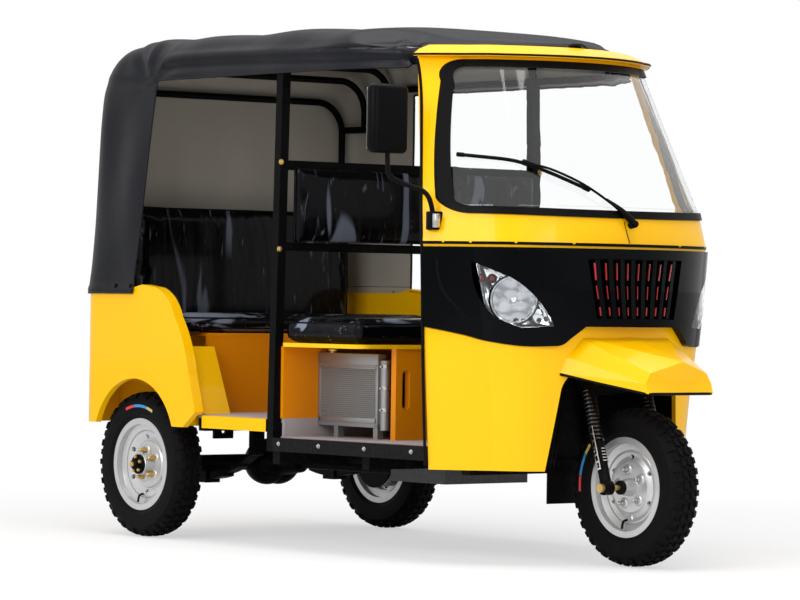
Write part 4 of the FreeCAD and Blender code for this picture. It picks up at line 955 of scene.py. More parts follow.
def cover_sheet():
    """The skin as one grid bent over the hoops, with its doorways cut out. Both halves meet at the ridge."""
    low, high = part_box("canopy")
    hem, rear, half = low.z / MM, low.x / MM + AXLE, high.y / MM
    rows = (len(COVER_LEVELS) - 1) * COVER_STEPS
    columns = 2 * (BACK_COLUMNS + SIDE_COLUMNS)
    deselect()
    bpy.ops.mesh.primitive_grid_add(x_subdivisions=columns, y_subdivisions=rows, size=2)
    cover = bpy.context.object
    settle(cover)
    doorway = set()
    for point in cover.data.vertices:
        across = round((point.co.x + 1) / 2 * columns) - columns // 2
        up = round((point.co.y + 1) / 2 * rows)
        level = bent_through(COVER_LEVELS, up / COVER_STEPS)
        x, y, z = cover_point(level, abs(across), hem, rear, half)
        point.co = ((x - AXLE) * MM, math.copysign(y, across) * MM, z * MM)
        if up < DOOR_LEVEL * COVER_STEPS and abs(across) > BACK_COLUMNS:
            doorway.add(point.index)
    choose(cover, lambda part: any(point.index in doorway for point in part.verts))
    bpy.ops.mesh.delete(type="FACE")
    bpy.ops.object.mode_set(mode="OBJECT")
    tidy_mesh(cover, 0.0006)
    for _ in range(2):
        open_mesh(cover)
        bpy.ops.mesh.vertices_smooth(factor=0.4, repeat=1)
        bpy.ops.object.mode_set(mode="OBJECT")
    outward = [point.normal.copy() for point in cover.data.vertices]
    if sum(n.z for n in outward) < 0:
        cover.data.flip_normals()
        outward = [-n for n in outward]
    for point, away in zip(cover.data.vertices, outward):
        x, y, z = point.co / MM
        point.co += away * cover_relief(x + AXLE, y, z) * MM
    return cover


def rounded(line, radius, caps=False):
    """Makes a piece that is only edges a round cord."""
    pick(line)
    bpy.ops.object.convert(target="CURVE")
    line.data.bevel_depth = radius
    line.data.bevel_resolution = CORD_DETAIL
    line.data.use_fill_caps = caps
    bpy.ops.object.convert(target="MESH")
    tidy_mesh(line, 0.00001)
    return line


def edge_tube(obj, chooser, radius):
    """A round cord laid along some of a mesh's edges."""
    other = pick(copied(obj))
    choose(other, chooser, "EDGE")
    bpy.ops.mesh.select_all(action="INVERT")
    bpy.ops.mesh.delete(type="EDGE")
    bpy.ops.object.mode_set(mode="OBJECT")
    choose(other, lambda part: not part.link_edges, "VERT")
    bpy.ops.mesh.delete(type="VERT")
    bpy.ops.object.mode_set(mode="OBJECT")
    return rounded(other, radius, caps=True)


def seam_round(obj, place, normal, radius):
    """A cord laid round an object where a plane cuts it."""
    other = copied(obj)
    open_mesh(other)
    bpy.ops.mesh.bisect(plane_co=place, plane_no=normal, clear_inner=True, clear_outer=True)
    bpy.ops.mesh.select_all(action="SELECT")
    bpy.ops.mesh.remove_doubles(threshold=0.001)
    bpy.ops.object.mode_set(mode="OBJECT")
    return rounded(other, radius)


def make_canopy_fabric():
    """Black coated cloth, duller where it is seen at a slant, and its pale lining."""
    outside, tree, shader = finish_of("canopy_cloth")
    steep = ramp(tree, node(tree, "LayerWeight").outputs["Facing"], 0.55, 0.95)
    tree.links.new(maths(tree, "MULTIPLY_ADD", steep, -0.15, 0.16), shader.inputs["Specular IOR Level"])
    add_grime(tree, shader, Colour=linear(14, 15, 21), Dust_Colour=(0.2, 0.2, 0.21, 1), Dust=0.03, Cloud=0.12,
              Roughness=0.36, Patchiness=0.14, Scale=3.0)
    slack = placed(tree, GRAIN, Scale=16.0, Pebble=0.4, Wave=0.6)
    mixed = maths(tree, "MULTIPLY_ADD", woven(tree, 560.0), 0.05, slack.outputs["Height"])
    add_bump(tree, shader, mixed, 0.25, 0.006)
    lining, tree, shader = finish_of("canopy_lining", Specular_IOR_Level=0.2)
    add_grime(tree, shader, Colour=linear(166, 161, 151), Dust=0.1, Cloud=0.12, Roughness=0.75,
              Patchiness=0.1, Scale=4.0)
    add_bump(tree, shader, woven(tree, 420.0), 0.15, 0.0006)
    return outside, lining


CLOTH, LINING = make_canopy_fabric()


def make_canopy():
    """The cloth with its lining, the cord in its hem and a line of stitching above it."""
    cover = cover_sheet()
    hem = edge_tube(cover, lambda edge: edge.is_boundary, HEM_CORD)
    put(hem, "canopy_hem", "body", CLOTH, 60)
    stitching = seam_round(cover, (0, 0, HEM_STITCH_LEVEL), (0, 0, 1), HEM_STITCH)
    put(stitching, "canopy_hem_stitching", "body", CLOTH, 60)
    cover.data.materials.append(CLOTH)
    cover.data.materials.append(LINING)
    thicken(cover, COVER_WALL, inner_material=1)
    settle(cover)
    cover.name = "canopy_sheet"
    smooth(cover, 60)
    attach(cover, "body")
    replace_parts(cover, "canopy")


make_canopy()


# ---- seats
PAD_CELL = 0.011
PAD_FRAMES = 14
PAD_PRESSURE = 4.0


def stuffed(shape, cap):
    """Blows a closed shape up as cloth, so that its sides crown between its edges, by no more than cap."""
    pick(shape)
    shape.data.remesh_voxel_size = PAD_CELL
    bpy.ops.object.voxel_remesh()
    start = [point.co.copy() for point in shape.data.vertices]
    cloth = shape.modifiers.new("air", "CLOTH")
    cloth.settings.use_pressure = True
    cloth.settings.uniform_pressure_force = PAD_PRESSURE
    cloth.settings.effector_weights.gravity = 0
    cloth.settings.quality = 4
    cloth.point_cache.frame_start = 1
    cloth.point_cache.frame_end = PAD_FRAMES
    for step in range(1, PAD_FRAMES + 1):
        bpy.context.scene.frame_set(step)
    apply_modifiers(shape)
    bpy.context.scene.frame_set(1)
    for point, before in zip(shape.data.vertices, start):
        moved = point.co - before
        if moved.length > cap:
            point.co = before + moved * (cap / moved.length)
    finer = shape.modifiers.new("finer", "SUBSURF")
    finer.levels = 1
    finer.render_levels = 1
    apply_modifiers(shape)
    return shape


WELT = 0.0032
X_AXIS, Z_AXIS = 0, 2


def seat_pad(node_name, name, finish, inset, cap, bevel, welts):
    """A padded seat in the space of its CAD solid. welts are (axis, how far inside) from the far face
    or, where negative, from the near one."""
    low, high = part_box(node_name)
    pad = box_piece(low + Vector(inset), high - Vector(inset), bevel, 4)
    stuffed(pad, cap)
    cords = []
    for axis, inside in welts:
        place, normal = Vector(), Vector()
        place[axis] = high[axis] - inside if inside > 0 else low[axis] - inside
        normal[axis] = 1
        cords.append(seam_round(pad, place, normal, WELT))
    put(pad, name, "body", finish, 60)
    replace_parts(pad, node_name)
    put(joined(cords), name + "_welts", "body", BLACK_SATIN, 60)


def make_seats():
    """The passengers' bench and the driver's seat, each a cushion and a backrest."""
    thick = (0.009, 0.009, 0.009)
    seat_pad("passenger_cushion", "passenger_seat_pad", SEAT_FILM, thick, 0.011, 0.022,
             [(Z_AXIS, 0.018), (Z_AXIS, -0.018)])
    seat_pad("passenger_backrest", "passenger_back_pad", FILM, thick, 0.011, 0.024, [(X_AXIS, 0.02)])
    seat_pad("driver_cushion", "driver_seat_pad", SEAT_FILM, thick, 0.011, 0.024,
             [(Z_AXIS, 0.018), (Z_AXIS, -0.02)])
    seat_pad("driver_backrest", "driver_back_pad", FILM, (0.006, 0.008, 0.009), 0.009, 0.012,
             [(X_AXIS, -0.012)])


make_seats()


# ---- lamps, grille and mask
LAMP_LOOK = Vector((0.70, -0.71, -0.08)).normalized()
REFLECTOR_LOOK = Vector((0.80, -0.60, -0.04)).normalized()
REFLECTOR = Vector((0.921, -0.428, 0.886))


def make_reflector_finish():
    """Bright metal pressed into small facets."""
    material, tree, shader = finish_of("lamp_reflector", Metallic=1.0, Roughness=0.12)
    shader.inputs["Base Color"].default_value = linear(196, 198, 202)
    cells = node(tree, "TexVoronoi", Scale=24.0, Randomness=0.8)
    tree.links.new(own_place(tree), cells.inputs["Vector"])
    add_bump(tree, shader, cells.outputs["Distance"], 0.3, 0.01)
    return material


REFLECTOR_CHROME = make_reflector_finish()
RED_BAR = worn_finish("grille_red", linear(160, 14, 14), 0.35, dust=0.05, Coat_Weight=0.3)
CLEAR_BEAD = make_glass("clear_bead", (0.93, 0.95, 0.97, 1), 0.06)


def lamp_dish():
    """The open dish behind a lens: the lens's own outline drawn inwards and floored."""
    dish = pick(copied(nodes["headlight_lenses"]))
    choose(dish, lambda face: face.calc_center_median().y > 0 or face.normal.dot(LAMP_LOOK) < 0.35)
    bpy.ops.mesh.delete(type="FACE")
    bpy.ops.object.mode_set(mode="OBJECT")
    tidy_mesh(dish, 0.0004)
    choose(dish, lambda edge: edge.is_boundary, "EDGE")
    bpy.ops.mesh.duplicate()
    bpy.ops.mesh.separate(type="SELECTED")
    bpy.ops.object.mode_set(mode="OBJECT")
    rim = [obj for obj in bpy.context.selected_objects if obj != dish][0]
    bpy.data.objects.remove(dish)
    centre = REFLECTOR - LAMP_LOOK * 0.02
    open_mesh(rim)
    bpy.ops.transform.translate(value=tuple(-LAMP_LOOK * 0.005))
    bpy.ops.transform.resize(value=(0.99, 0.99, 0.99), center_override=tuple(centre))
    bpy.ops.mesh.extrude_region_move(TRANSFORM_OT_translate={"value": tuple(-LAMP_LOOK * 0.03)})
    bpy.ops.transform.resize(value=(0.86, 0.86, 0.86), center_override=tuple(centre))
    bpy.ops.mesh.extrude_region_move(TRANSFORM_OT_translate={"value": tuple(-LAMP_LOOK * 0.008)})
    bpy.ops.transform.resize(value=(0.7, 0.7, 0.7), center_override=tuple(centre))
    bpy.ops.mesh.edge_face_add()
    bpy.ops.object.mode_set(mode="OBJECT")
    thicken(rim, 0.0015, offset=-1)
    tidy_mesh(rim, 0.00001)
    return rim


def both_sides(piece, name, material, degrees=35, body="body"):
    """A piece for the right side and its twin on the left, as one object."""
    twin = mirrored(piece)
    return put(joined([piece, twin]), name, body, material, degrees)


def make_headlamps():
    """The dish, the round reflector with its bulb shield, and a black ring round the reflector as painted
    shade between it and the dish.
    """
    dish = both_sides(lamp_dish(), "lamp_dishes", CHROME, 30)
    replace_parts(dish, "headlight_bowls")
    spot = REFLECTOR - REFLECTOR_LOOK * 0.014
    bowl = [(0.004, 0.079), (0.008, 0.0775), (0.008, 0.072), (-0.002, 0.066), (-0.014, 0.052),
            (-0.022, 0.034), (-0.025, 0.02), (-0.027, 0.02), (-0.026, 0.055), (-0.006, 0.074)]
    both_sides(lathe(bowl, spot, REFLECTOR_LOOK, 48), "lamp_reflectors", REFLECTOR_CHROME, 30)
    cap = [(-0.024, 0.013), (-0.004, 0.013), (0.002, 0.011), (0.005, 0.006)]
    both_sides(lathe(cap, spot, REFLECTOR_LOOK, 24), "lamp_bulb_shields", CHROME)
    # A black ring round the reflector's rim is painted shade where the reflector meets the dish.
    ring = [(0.0035, 0.0835), (0.0065, 0.083), (0.0065, 0.0795), (0.0035, 0.079)]
    both_sides(lathe(ring, spot, REFLECTOR_LOOK, 48), "lamp_painted_shade_rings", BLACK_GLOSS)


def make_signal_bulbs():
    """A large and a small bulb in the upper corner of each headlamp, on dark beds."""
    upper = Vector((0.869, -0.4795, 0.955)) - LAMP_LOOK * 0.006
    bed = lathe([(-0.012, 0.014), (0.0, 0.0165), (0.001, 0.012), (-0.002, 0.009)], upper, LAMP_LOOK, 24)
    far = upper + Vector((-0.026, -0.022, 0.001))
    near_bed = lathe([(-0.012, 0.011), (0.0, 0.0135), (0.001, 0.01), (-0.002, 0.008)], far, LAMP_LOOK, 24)
    both_sides(joined([bed, near_bed]), "signal_bulb_beds", BLACK_GLOSS)
    bulb = lathe([(-0.004, 0.008), (0.003, 0.0075), (0.007, 0.004)], upper, LAMP_LOOK, 20)
    other = lathe([(-0.004, 0.007), (0.003, 0.0065), (0.006, 0.0035)], far, LAMP_LOOK, 20)
    both_sides(joined([bulb, other]), "signal_bulbs", RED_LENS)


def make_lamp_strip():
    """A row of five clear beads along the foot of each headlamp."""
    places = ((0.9242, -0.4217, 0.8174), (0.9383, -0.4024, 0.8158), (0.9527, -0.3783, 0.8161),
              (0.9660, -0.3570, 0.8185), (0.9775, -0.3370, 0.8235))
    bead = [(0, 0.0068), (0.003, 0.0064), (0.0055, 0.003)]
    seat = [(-0.003, 0.0088), (0.0015, 0.0086), (0.0018, 0.0072), (0, 0.007)]
    beads, seats = [], []
    for place in places:
        spot = Vector(place) - LAMP_LOOK * 0.009
        beads.append(lathe(bead, spot, LAMP_LOOK, 16))
        seats.append(lathe(seat, spot, LAMP_LOOK, 16))
    both_sides(joined(beads), "lamp_strip_beads", CLEAR_BEAD)
    both_sides(joined(seats), "lamp_strip_seats", GREY_PLASTIC)


def crescent(points, widths, radius):
    """A ridge that swells and tapers along a line."""
    return bent_bar(points, radius, sides=4, detail=12, widths=widths)


def make_mask_detail():
    """A raised crease down each side of the mask."""
    points = [(0.7195, -0.5955, 1.030), (0.7215, -0.5942, 1.0), (0.7236, -0.5895, 0.955),
              (0.7376, -0.5765, 0.905), (0.764, -0.5554, 0.8705), (0.786, -0.535, 0.838),
              (0.8084, -0.5147, 0.806)]
    ridge = crescent(points, (0.2, 0.6, 0.9, 1.0, 0.9, 0.5, 0.15), 0.008)
    both_sides(ridge, "mask_side_creases", BLACK_SATIN, 60)


make_headlamps()
make_signal_bulbs()
make_lamp_strip()
make_mask_detail()


# ---- screen surround, mirror and wiper
def make_edge_rubbers():
    """Door seals down the rear edges of the front posts and the cowl, and the lip round the visor."""
    points = [(0.4925, -0.502, 1.695), (0.5286, -0.5124, 1.6218), (0.590, -0.5600, 1.383),
              (0.648, -0.604, 1.1473), (0.6705, -0.6195, 1.07), (0.669, -0.612, 0.88), (0.668, -0.603, 0.6),
              (0.6675, -0.588, 0.33)]
    seal = bent_bar(points, 0.0055, detail=6, sides=2)
    both_sides(seal, "door_edge_seals", RUBBER, 60)
    lip = seam_round(nodes["visor"], (0, 0, 1.7095), (0, 0, 1), 0.0038)
    put(lip, "visor_lip", "body", RUBBER, 60)


def make_mirror():
    """The right mirror's shell and glass, its bent arm, and the clamp on the cowl's side."""
    shell = box_piece((0.5655, -0.786, 1.367), (0.6155, -0.630, 1.597), 0.021, 5)
    choose(shell, lambda face: face.normal.x < -0.9 and face.calc_area() > 0.01)
    bpy.ops.mesh.inset(thickness=0.006, depth=0)
    bpy.ops.mesh.inset(thickness=0.0015, depth=-0.004)
    bpy.ops.object.mode_set(mode="OBJECT")
    line = [(0.5905, -0.706, 1.37), (0.5905, -0.706, 1.33), (0.594, -0.703, 1.29), (0.640, -0.662, 1.262),
            (0.683, -0.626, 1.246), (0.6985, -0.606, 1.215), (0.700, -0.598, 1.17)]
    arm = bent_bar(line, 0.0085, sides=3)
    boss = lathe([(-0.012, 0.016), (0.004, 0.015), (0.01, 0.011), (0.03, 0.0105)], (0.5905, -0.706, 1.372),
                 (0, 0, -1), 20)
    clamp = box_piece((0.680, -0.612, 1.114), (0.716, -0.566, 1.176), 0.004, 2)
    whole = joined([shell, arm, boss, clamp])
    put(whole, "right_mirror_modelled", "body", BLACK_SATIN, 50)
    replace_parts(whole, "right_mirror")
    glass = box_piece((0.5665, -0.777, 1.380), (0.5692, -0.639, 1.584), 0.001, 2)
    put(glass, "mirror_glass", "body", CHROME)
    plate = box_piece((0.7165, -0.613, 1.122), (0.7305, -0.590, 1.168), 0.002, 2)
    screw = bolt((0.7305, -0.6015, 1.146), (1, 0, 0), 0.010, 0.005)
    put(joined([plate, screw]), "mirror_clamp_plate", "body", STEEL)


make_edge_rubbers()
make_mirror()


# ---- wiper
def make_wiper():
    """The blade along the glass, its joint, and the arm with its heel down to the pivot."""
    out = Vector((0.86, -0.34, 0.38)).normalized()
    line = [(0.7114, -0.4959, 1.3643), (0.7684, -0.4538, 1.3579), (0.8301, -0.3972, 1.3503),
            (0.8587, -0.3558, 1.3412), (0.8950, -0.2989, 1.3191), (0.9275, -0.2384, 1.2939),
            (0.9629, -0.1578, 1.2575)]
    blade = [Vector(place) + out * 0.008 for place in line]
    rubber = bent_bar([Vector(place) + out * 0.003 for place in line], 0.0028, detail=6, sides=1)
    back = bent_bar(blade, 0.0062, detail=8)
    end = [(-0.012, 0.006), (-0.01, 0.0078), (0.012, 0.0078), (0.016, 0.005)]
    ends = [lathe(end, place, way, 12)
            for place, way in ((blade[0], blade[1] - blade[0]), (blade[-1], blade[-1] - blade[-2]))]
    joint_at = (blade[3] + blade[4]) / 2 + out * 0.006
    along = (blade[4] - blade[3]).normalized()
    joint = lathe([(-0.034, 0.007), (-0.028, 0.0105), (0.02, 0.0105), (0.034, 0.006)], joint_at, along, 10)
    pivot = Vector((1.0215, 0.0, 1.1413))
    rise = Vector((1.0, 0.0, 0.22)).normalized()
    reach = [joint_at + out * 0.004, blade[4] + out * 0.024, blade[5] + out * 0.026, blade[6] + out * 0.02,
             Vector((1.0118, -0.0565, 1.1914)) + out * 0.012, pivot + rise * 0.022]
    arm = bent_bar(reach, 0.0042)
    heel = crescent([pivot + rise * 0.016, Vector((1.030, -0.022, 1.168)), Vector((1.018, -0.052, 1.197)),
                     Vector((0.998, -0.094, 1.2268))], (1.5, 1.35, 1.05, 0.5), 0.0085)
    cap = lathe([(-0.008, 0.011), (0.006, 0.0125), (0.022, 0.0125), (0.028, 0.009)], pivot, rise, 20)
    whole = joined([back, rubber, *ends, joint, arm, heel, cap])
    put(whole, "wiper_modelled", "body", BLACK_SATIN, 50)
    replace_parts(whole, "wiper")


# ---- small trim
GRILLE_BARS = 8
GRILLE_FACE = 1.046


def make_grille_strips():
    """Three short red strips up each bar of the grille, which bends out at its kink."""
    strips = []
    for i in range(GRILLE_BARS):
        share = (i + 0.5) / GRILLE_BARS * 2 - 1
        foot, kink, head = share * 0.163 - 0.0105, share * 0.200 * 0.93 - 0.0135, share * 0.200 - 0.0105
        # (y, z) of the lower and the upper end, and the radius
        for low, high, radius in (
            ((foot, 0.838), (foot + (kink - foot) * 0.28, 0.866), 0.0036),
            ((foot + (kink - foot) * 0.55, 0.893), (kink, 0.937), 0.0024),
            ((kink + (head - kink) * 0.25, 0.956), (head, 1.012), 0.0036),
        ):
            strips.append(bent_bar([(GRILLE_FACE, *low), (GRILLE_FACE, *high)], radius, order=2))
    put(joined(strips), "grille_red_strips", "body", RED_BAR)


def make_band_trim():
    """A thin dark line down the yellow band, and the clips of the strip below it."""
    line = [(1.0148, -0.0262, 1.1519), (1.0245, -0.0206, 1.1084), (1.0328, -0.0150, 1.0800)]
    put(bent_bar(line, 0.0014, detail=6), "band_dark_line", "body", RUBBER)
    clips = []
    for x, y, across in ((0.7343, -0.5788, (0.5, -0.84, 0)), (0.9269, -0.4276, (0.81, -0.54, 0)),
                         (0.8150, -0.5290, (0.62, -0.78, 0)), (1.0040, -0.2400, (0.93, -0.36, 0))):
        clips.append(lathe([(-0.004, 0.005), (0.003, 0.005), (0.0042, 0.0035)], (x, y, 1.0775), across, 8))
    both_sides(joined(clips), "strip_clips", YELLOW)


def make_mudguard_lip():
    """The black moulding under the mudguard's edge."""
    right = [(0.9760, -0.2675, 0.6415), (1.10, -0.2135, 0.6165), (1.2520, -0.1535, 0.5865),
             (1.2735, -0.1385, 0.5835)]
    left = [(x, -y, z) for x, y, z in reversed(right)]
    lip = bent_bar([*right, (1.2735, 0, 0.5835), *left], 0.0048, order=2, detail=4)
    put(lip, "mudguard_lip", "body", RUBBER, 60)


RADIATOR_WIDTH = 0.330
RADIATOR_MIDDLE = -0.415
FINS, FIN_PITCH = 66, 0.0045
TUBES, TUBE_PITCH = 24, 0.007


def make_radiator_core():
    """Upright fins and level tubes over the core's outer face, in its frame of channels."""
    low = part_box("radiator")[0]
    left, right, front = low.x, low.x + RADIATOR_WIDTH, low.y
    fin = box_piece((left + 0.015, front + 0.0005, 0.471), (left + 0.0162, front + 0.003, 0.639))
    tube = box_piece((left + 0.014, front - 0.0002, 0.474), (right - 0.014, front + 0.0025, 0.4755))
    core = [in_a_row(fin, FINS, (FIN_PITCH, 0, 0)), in_a_row(tube, TUBES, (0, 0, TUBE_PITCH))]
    put(joined(core), "radiator_fins", "body", FIN_METAL, 20)
    parts = [
        box_piece((left - 0.003, front - 0.004, 0.654), (right + 0.003, front + 0.036, 0.692), 0.003),
        box_piece((left + 0.004, front - 0.003, 0.640), (right - 0.004, front + 0.002, 0.646), 0.0015),
        box_piece((left - 0.002, front - 0.003, 0.438), (left + 0.013, front + 0.004, 0.654), 0.002),
        box_piece((right - 0.013, front - 0.003, 0.438), (right + 0.002, front + 0.004, 0.654), 0.002),
        box_piece((left + 0.004, front - 0.003, 0.452), (right - 0.004, front + 0.002, 0.470), 0.0015),
    ]
    for z in (0.49, 0.63):
        near, far = (left - 0.010, front - 0.002, z), (left + 0.002, front + 0.003, z + 0.022)
        parts.append(box_piece(near, far, 0.001))
    put(joined(parts), "radiator_tank_and_channels", "body", RADIATOR)


def make_radiator_fittings():
    """Clips with their screws round the upright pipe, and the filler cap on the tank."""
    low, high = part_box("radiator")
    pipe = Vector((high.x - 0.017, RADIATOR_MIDDLE, 0))
    clip = [(-0.006, 0.0175), (-0.006, 0.0195), (0.006, 0.0195), (0.006, 0.0175)]
    levels = (0.50, 0.575, 0.65)
    clips = [lathe(clip, pipe + Vector((0, 0, z)), (0, 0, 1), 24) for z in levels]
    clips += [bolt(pipe + Vector((0.004, -0.019, z)), (0.3, -1, 0), 0.010, 0.010) for z in levels]
    put(joined(clips), "radiator_clips", "body", STEEL)
    cap = lathe([(0, 0.016), (0.006, 0.017), (0.008, 0.022), (0.014, 0.022), (0.017, 0.019)],
                (low.x + 0.06, RADIATOR_MIDDLE, 0.690), (0, 0, 1), 24)
    put(cap, "radiator_cap", "body", BRASS)


def make_fixings():
    """Bolts on the partition bars and sills, and the buttons along the canopy's hem."""
    brass = [bolt((-0.1325, side * y, z), (1, 0, 0), 0.014, 0.008, 0.010)
             for side in (-1, 1) for y, z in ((0.5985, 1.3560), (0.6015, 1.0520))]
    put(joined(brass), "partition_bolts", "body", BRASS)
    steel = []
    for x in (-0.095, 0.12, 0.36, 0.60):
        wide = 0.622 - 0.030 * max(0.0, x + 0.115) / 0.783
        steel += [bolt((x, side * wide, 0.374), (0, side, 0), 0.012, 0.006, 0.008) for side in (-1, 1)]
    put(joined(steel), "sill_bolts", "body", STEEL)
    places = [((x, side * 0.6585, 0.917), (0, side, 0)) for side in (-1, 1) for x in (-1.05, -0.955)]
    places += [((-1.3035, y, 0.917), (-1, 0, 0)) for y in (-0.45, -0.15, 0.15, 0.45)]
    button = [(-0.002, 0.009), (0.002, 0.009), (0.0035, 0.006)]
    buttons = [lathe(button, place, out, 16) for place, out in places]
    put(joined(buttons), "hem_buttons", "body", BLACK_GLOSS)


def make_hub_seals():
    """A rubber seal on each end of the front hub."""
    low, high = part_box("front_tyre")
    centre = (low + high) / 2
    seal = [(0.0, 0.024), (0.010, 0.024), (0.013, 0.021), (0.013, 0.0125)]
    rings = [lathe(seal, centre + Vector((0, side * 0.0625, 0)), (0, side, 0), 28) for side in (-1, 1)]
    put(joined(rings), "front_hub_seals", "front_wheel", RUBBER)


TURN_STEPS = 8  # points in one turn of a spring
ACROSS = Vector((0, 1, 0))


def spring(start, lean, length, turns, radius, wire):
    """A coil of wire along a leaning axis."""
    front = ACROSS.cross(lean)
    steps = turns * TURN_STEPS
    points = []
    for i in range(steps + 1):
        turn = math.tau * i / TURN_STEPS
        around = ACROSS * math.cos(turn) + front * math.sin(turn)
        points.append(start + lean * (length * i / steps) + around * radius)
    return bent_bar(points, wire, detail=2)


def make_fork_springs(lean):
    """Coils over the upper fork legs."""
    low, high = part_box("fork_springs")
    length = (high.z - low.z - 0.014) / lean.z
    coils = [spring(Vector((high.x - 0.022, side * 0.130, low.z + 0.006)), lean, length, 13, 0.0222, 0.0040)
             for side in (-1, 1)]
    put(joined(coils), "fork_coils", "steering", SPRING_BLACK, 60)


def make_fork_guides(lean):
    """Short return springs and slotted guide plates beside the lower legs."""
    slant = Vector((0, 0, 1)).rotation_difference(lean).to_matrix().to_4x4()
    small, plates, slots = [], [], []
    for side in (-1, 1):
        small.append(spring(Vector((1.047, side * 0.126, 0.352)), lean, 0.052, 5, 0.0115, 0.0021))
        tilt = Matrix.Translation((1.0305, side * 0.1582, 0.398)) @ slant
        plate = box_piece((-0.009, -0.0011, -0.075), (0.009, 0.0011, 0.075), 0.0006)
        plate.matrix_world = tilt
        plates.append(plate)
        for reach in (-0.062, -0.012):
            pin = Vector((1.0265, 0, 0.398)) + lean * reach
            plates.append(bar(pin + ACROSS * side * 0.1465, pin + ACROSS * side * 0.1608, 0.0035, 12))
        for i in range(6):
            middle = -0.060 + 0.024 * i
            slot = box_piece((-0.0055, -0.0016, middle - 0.0085), (0.0055, 0.0016, middle + 0.0085), 0.0005)
            slot.matrix_world = tilt
            slots.append(slot)
    put(joined(small), "fork_return_springs", "steering", STEEL, 60)
    put(joined(plates), "fork_guide_plates", "steering", STEEL)
    put(joined(slots), "fork_guide_slots", "steering", BLACK_PAINT)


def make_fork_detail():
    """Everything on the fork's legs, along the lean of the springs' CAD solid."""
    low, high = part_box("fork_springs")
    lean = Vector((-(high.x - low.x - 0.040), 0, high.z - low.z - 0.012)).normalized()
    make_fork_springs(lean)
    make_fork_guides(lean)


make_wiper()
make_grille_strips()
make_band_trim()
make_mudguard_lip()
make_radiator_core()
make_radiator_fittings()
make_fixings()
make_hub_seals()
make_fork_detail()


# ---- tail lamps
TAIL_LAMP_WIDTH = 0.090


def make_tail_detail():
    """Red bodies with a dark surround, an amber upper lens and a clear lower one on each."""
    low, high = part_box("tail_lamps")
    back, y0, y1 = low.x, low.y, low.y + TAIL_LAMP_WIDTH
    red = box_piece((back + 0.002, y0, low.z), (high.x, y1, high.z), 0.004, 3)
    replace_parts(both_sides(red, "tail_lamp_bodies", RED_LENS), "tail_lamps")
    bars = [box_piece((back, y0 - 0.001, z0), (high.x - 0.002, y1 + 0.001, z1), 0.0015)
            for z0, z1 in ((low.z, low.z + 0.006), (high.z - 0.006, high.z), (low.z + 0.044, low.z + 0.049),
                           (high.z - 0.053, high.z - 0.048))]
    bars += [box_piece((back, y - 0.003, low.z), (high.x - 0.002, y + 0.003, high.z), 0.0015)
             for y in (y0, y1)]
    both_sides(joined(bars), "tail_lamp_surrounds", BLACK_SATIN)
    for z0, z1, name, slot, material in (
        (high.z - 0.047, high.z - 0.007, "tail_lamp_amber_lenses", "red_lamp", AMBER_LENS),
        (low.z + 0.007, low.z + 0.043, "tail_lamp_reverse_lenses", "clear_glass", CLEAR_BEAD),
    ):
        lens = box_piece((back + 0.0006, y0 + 0.004, z0), (back + 0.006, y1 - 0.004, z1), 0.0015)
        both_sides(lens, name, material)


make_tail_detail()


# ---- studio
CAMERA_TARGET = Vector((0.0505, -0.2046, 0.88))
CAMERA_AZIMUTH = math.radians(50.90)
CAMERA_ELEVATION = math.radians(0.02)
CAMERA_ROLL = math.radians(0.81)
CAMERA_DISTANCE = 13.022
CAMERA_LENS = 166.53


def make_camera():
    """Stands in front and to the right of the vehicle at about chest height."""
    deselect()
    bpy.ops.object.camera_add()
    camera = bpy.context.object
    camera.data.sensor_width = 36
    camera.data.lens = CAMERA_LENS
    camera.data.clip_end = 200
    level = math.cos(CAMERA_ELEVATION)
    back = Vector((math.sin(CAMERA_AZIMUTH) * level, -math.cos(CAMERA_AZIMUTH) * level,
                   math.sin(CAMERA_ELEVATION)))
    right = (-back).cross(Vector((0, 0, 1))).normalized()
    up = right.cross(-back)
    leaning_right = right * math.cos(CAMERA_ROLL) + up * math.sin(CAMERA_ROLL)
    leaning_up = up * math.cos(CAMERA_ROLL) - right * math.sin(CAMERA_ROLL)
    turn = Matrix((leaning_right, leaning_up, back)).transposed().to_4x4()
    camera.matrix_world = Matrix.Translation(CAMERA_TARGET + back * CAMERA_DISTANCE) @ turn
    bpy.context.scene.camera = camera


def seen_directly(tree):
    """1 for rays that show the backdrop itself, in glass and in metal, and 0 for the light it gives."""
    path = node(tree, "LightPath")
    seen = maths(tree, "ADD", path.outputs["Is Camera Ray"], path.outputs["Is Glossy Ray"])
    return maths(tree, "ADD", seen, path.outputs["Is Transmission Ray"], clamp=True)


WORLD_LIGHT = 0.5


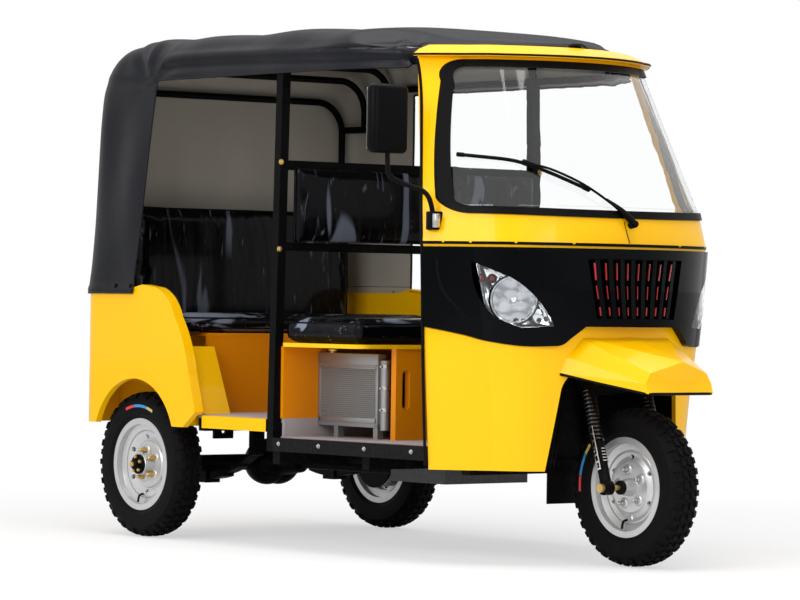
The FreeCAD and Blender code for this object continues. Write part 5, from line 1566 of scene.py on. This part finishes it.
def make_world():
    """White where it is seen, and half as bright as a light."""
    world = bpy.data.worlds.new("studio")
    bpy.context.scene.world = world
    world.use_nodes = True
    tree = world.node_tree
    background = tree.nodes["Background"]
    background.inputs["Strength"].default_value = 1.0
    light = (WORLD_LIGHT, WORLD_LIGHT, WORLD_LIGHT * 1.02, 1)
    colour = blended(tree, seen_directly(tree), light, (1, 1, 1, 1))
    tree.links.new(colour, background.inputs["Color"])


def make_floor():
    """A pale floor that keeps the shadow near the vehicle and runs out into the white backdrop."""
    deselect()
    bpy.ops.mesh.primitive_plane_add(size=60, location=(0, 0, -0.0005))
    floor = bpy.context.object
    floor.name = "studio_floor"
    material, tree, shader = finish_of(
        "studio_floor", Base_Color=(0.9, 0.9, 0.9, 1), Roughness=0.9, Specular_IOR_Level=0.1)
    length = node(tree, "VectorMath", operation="LENGTH")
    tree.links.new(own_place(tree), length.inputs[0])
    away = ramp(tree, length.outputs["Value"], 1.6, 4.2)
    share = maths(tree, "MULTIPLY_ADD", away, 0.45, 0.55)
    share = maths(tree, "MULTIPLY", share, node(tree, "LightPath").outputs["Is Camera Ray"])
    glow = node(tree, "Emission", Strength=1.0)
    mix = node(tree, "MixShader")
    tree.links.new(share, mix.inputs[0])
    tree.links.new(shader.outputs[0], mix.inputs[1])
    tree.links.new(glow.outputs[0], mix.inputs[2])
    tree.links.new(mix.outputs[0], tree.nodes["Material Output"].inputs["Surface"])
    floor.data.materials.append(material)


def make_lamp(name, place, aim, size, power):
    """A softbox at a place, turned to shine at aim."""
    deselect()
    bpy.ops.object.light_add(type="AREA", location=place)
    lamp = bpy.context.object
    lamp.name = name
    lamp.data.shape = "RECTANGLE"
    lamp.data.size, lamp.data.size_y = size
    lamp.data.energy = power
    lamp.rotation_mode = "QUATERNION"
    lamp.rotation_quaternion = (Vector(aim) - Vector(place)).to_track_quat("-Z", "Y")


def make_studio():
    make_camera()
    make_world()
    make_floor()
    make_lamp("overhead_softbox", (0.5, -0.6, 5.2), (0, 0, 0.6), (5.0, 4.0), 215)
    make_lamp("side_softbox", (1.5, -6.0, 3.2), (-0.2, 0, 0.9), (5.0, 2.6), 185)
    make_lamp("front_softbox", (7.5, -1.0, 3.0), (0.6, 0, 0.9), (3.2, 2.6), 115)
    bpy.context.scene.view_settings.view_transform = "Standard"


make_studio()
